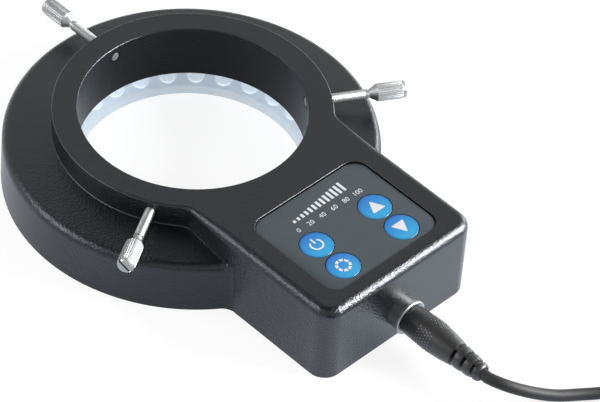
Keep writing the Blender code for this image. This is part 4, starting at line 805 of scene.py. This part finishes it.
for key, (x, y) in key_spots.items():
    cap = turned_mesh("cap", cap_line, 64, Matrix.Translation((x, y, 0)))
    # The side attribute carries the painted sheen, lighter along +X; the rim attribute carries the painted
    # shade.
    sides, painted_rim_shade = (cap.attributes.new(name, "FLOAT", "POINT") for name in ("side", "rim"))
    for vert in cap.vertices:
        out_x, out_y = vert.co.x - x, vert.co.y - y
        reach = math.hypot(out_x, out_y) / key_radius
        sides.data[vert.index].value = 0.5 + 0.5 * out_x / key_radius
        painted_rim_shade.data[vert.index].value = min(1, max(0, reach - 0.8) * 4) * 0.7
    cap.transform(on_ring)
    new_piece(f"{key}_key_cap", cap, blue, f"{key}_key", [f"key_{key}"], 50)
    new_piece(f"{key}_symbol", one_mesh(f"{key}_symbol", symbol(key, x, y)), print_finish, f"{key}_key",
              sharp=60)

# Supply socket. A brass barrel through the end wall, plated in dull dark nickel and turned bright at its lip.
# A hexagon nut draws it tight from inside. A black moulded body and a contact pin lie behind it.
dull_nickel = grained("dull_dark_nickel", (0.23, 0.235, 0.235), 0.38, metallic=1.0, grain=4000,
                      depth=0.000006, uneven=0.1)
turned_nickel = grained("turned_nickel", (0.26, 0.265, 0.27), 0.42, metallic=1.0, grain=6000, depth=0.00001,
                        uneven=0.1)
barrel_bore, barrel_end = 0.0031, 0.08155
barrel_line = [(barrel_bore, 0.0697), (0.0045, 0.0697), (0.0045, barrel_end), (barrel_bore, barrel_end)]
lip_line = [(barrel_bore, barrel_end), (0.00485, barrel_end), (0.00495, 0.08165), (0.00495, 0.0822),
            (0.00475, 0.0824), (0.0034, 0.0824), (barrel_bore, 0.0821)]
new_piece("socket_barrel", turned_mesh("socket_barrel", barrel_line, 96, socket_frame), dull_nickel,
          "housing", ["jack_bushing"], 28)
new_piece("socket_lip", turned_mesh("socket_lip", lip_line, 96, socket_frame), turned_nickel, "housing",
          sharp=28)


def coat(finish, *names):
    """Gives CAD nodes a procedural finish."""
    for name in names:
        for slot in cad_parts[name].material_slots:
            slot.material = finish


hard_black = grained("hard_black_moulding", (0.018, 0.018, 0.02), 0.38, grain=1500, depth=0.00002)
coat(hard_black, "jack_body")
coat(nickel, "jack_nut", "jack_pin", "plug_sleeve")

# Bottom plate. A stamped aluminium plate, powder coated with the casting, closes the control box. Its hollow
# edge follows the ring, and four sunk screws hold it.
plate_half, plate_end, plate_hollow, plate_corner, plate_top = 0.0236, 0.0754, 0.0509, 0.0021, 0.002


def plate_outline(less):
    """The plate's edge, moved in by a little."""
    half, end, hollow = plate_half - less, plate_end - less, plate_hollow + less
    turn, reach = math.pi / 2, math.asin(half / hollow)
    corner = plate_corner - less
    return (round_arc((0, 0), hollow, reach, -reach, 40)
            + round_arc((end - corner, corner - half), corner, -turn, 0, 8)
            + round_arc((end - corner, half - corner), corner, 0, turn, 8))


plate_rings = [[(x, y, z) for x, y in plate_outline(less)]
               for z, less in ((0, 0.0003), (0.00009, 0.00009), (0.0003, 0), (plate_top, 0))]
plate_mesh = shaped(stacked("bottom_plate", plate_rings),
                    sunk_holes(plate_fixings, 0.0026, 0.0016, 0.0012, 0.004))
plate_mesh.transform(on_ring)
new_piece("bottom_plate", plate_mesh, powder_coat, "housing", ["base_cover"])

# Small screws. Zinc-plated steel with a cross recess: sunk heads outside, in the lamp cover and the bottom
# plate, and pan heads inside, under the two circuit boards.
zinc = grained("zinc_plate", (0.50, 0.50, 0.52), 0.3, metallic=1.0, grain=3000, depth=0.000006, uneven=0.15)


def cross_screw(shank, head, head_height, length, sunk, base):
    """A screw that points up, with its head at its foot."""
    if sunk:
        line = [(0, 0), (head, 0), (head, head_height * 0.12), (shank, head_height)]
    else:
        line = [(0, 0), (head * 0.75, head_height * 0.08), (head, head_height * 0.4), (head, head_height),
                (shank, head_height)]
    line += [(shank, length - shank * 0.5), (shank * 0.6, length), (0, length)]
    far, near = head * 0.62, head * 0.12
    arm = ((far, -near), (far, near), (near, near))
    cross = [(x * math.cos(turn) - y * math.sin(turn), x * math.sin(turn) + y * math.cos(turn))
             for turn in (math.pi / 2 * i for i in range(4)) for x, y in arm]
    recess = upright("cross_recess", cross, base - 0.001, base + head_height / 2)
    return shaped(turned_mesh("screw", line, 32, Matrix.Translation((0, 0, base))), [("DIFFERENCE", recess)])


for name, node, kind, sunk, base, places in (
        ("lamp_cover_screws", "diffuser_screw", (0.001, 0.0019, 0.0009, 0.0058), True, 0, cover_fixings),
        ("ring_board_screws", "led_screw", (0.001, 0.0019, 0.0012, 0.0042), False, 0.0081, board_fixings),
        ("bottom_plate_screws", "base_screw", (0.00125, 0.0023, 0.0012, 0.0075), True, 0, plate_fixings),
        ("control_board_screws", "board_screw", (0.00125, 0.0022, 0.0013, 0.006), False, 0.013,
         control_fixings)):
    spots = [(spot, (0, 0, 0.6 * number)) for number, spot in enumerate(places)]
    new_piece(name, copies(name, cross_screw(*kind, sunk, base), spots, on_ring), zinc, "housing",
              [f"{node}_{number}" for number in range(1, len(places) + 1)])

# Control board. Green glass-epoxy with its four key switches on top, and the driver, choke, storage capacitor
# and lamp connector below. A red two-core lead goes round the ring board's edge to its underside.
coat(grained("green_circuit_board", (0.012, 0.12, 0.05), 0.4, grain=1200, depth=0.00001), "control_board")
coat(hard_black, "driver_chip", "choke", *(f"switch_{number}" for number in range(1, 5)))
coat(grained("capacitor_sleeve", (0.03, 0.04, 0.12), 0.3, grain=900, depth=0.000005), "storage_capacitor")
coat(nylon, "lamp_connector", *(f"plunger_{number}" for number in range(1, 5)))
coat(grained("red_lead", (0.5, 0.02, 0.014), 0.45, grain=2500, depth=0.00001), "lamp_harness")

# Plug-in supply at the cord's far end. Two hollow halves of hard black plastic, welded at their seam, with a
# ribbed soft relief for the cord and two round nickel-plated mains pins. A nylon tie holds the spare cord.
pin_radius, pin_nose, pin_round, pin_length = 0.002, 0.0005, 0.0015, 0.0195
relief_length, relief_foot, relief_taper, groove, relief_steps = 0.012, 0.0034, 0.0011, 0.0004, 24
coat(hard_black, "adapter_body", "adapter_cap")
pin_line = [(0, 0), (pin_radius, 0), (pin_radius, pin_length)] + [
    (pin_nose + pin_round * math.cos(a), pin_length + pin_round * math.sin(a)) for a in quarter(6)[1:]]
pin_line.append((0, pin_length + pin_round))
for number, level in ((1, 0.0233), (2, 0.0047)):
    pin_mesh = turned_mesh("mains_pin", pin_line, 32, Matrix.Translation((0.1489, -0.0713, level)) @ along_x)
    new_piece(f"mains_pin_{number}", pin_mesh, nickel, "lead",
                            [f"adapter_pin_{number}"])
relief_line = [(0, 0)] + [(relief_foot - relief_taper * step / relief_steps
                           - (groove if step % 4 > 1 and 3 < step < 22 else 0),
                           relief_length * step / relief_steps) for step in range(relief_steps + 1)]
relief_line.append((0, relief_length))
relief_mesh = turned_mesh("supply_relief", relief_line, 40, Matrix.Translation((0.1319, -0.04, 0.014))
                          @ Matrix.Rotation(-math.pi / 2, 4, "X"))
new_piece("supply_relief", relief_mesh, jacket, "lead", ["adapter_relief"])
coat(grained("laminated_steel", (0.3, 0.3, 0.31), 0.45, metallic=1.0, grain=700, depth=0.00005),
     "adapter_transformer")
coat(grained("black_nylon_tie", (0.016, 0.016, 0.017), 0.5, grain=900, depth=0.00004), "cord_tie")
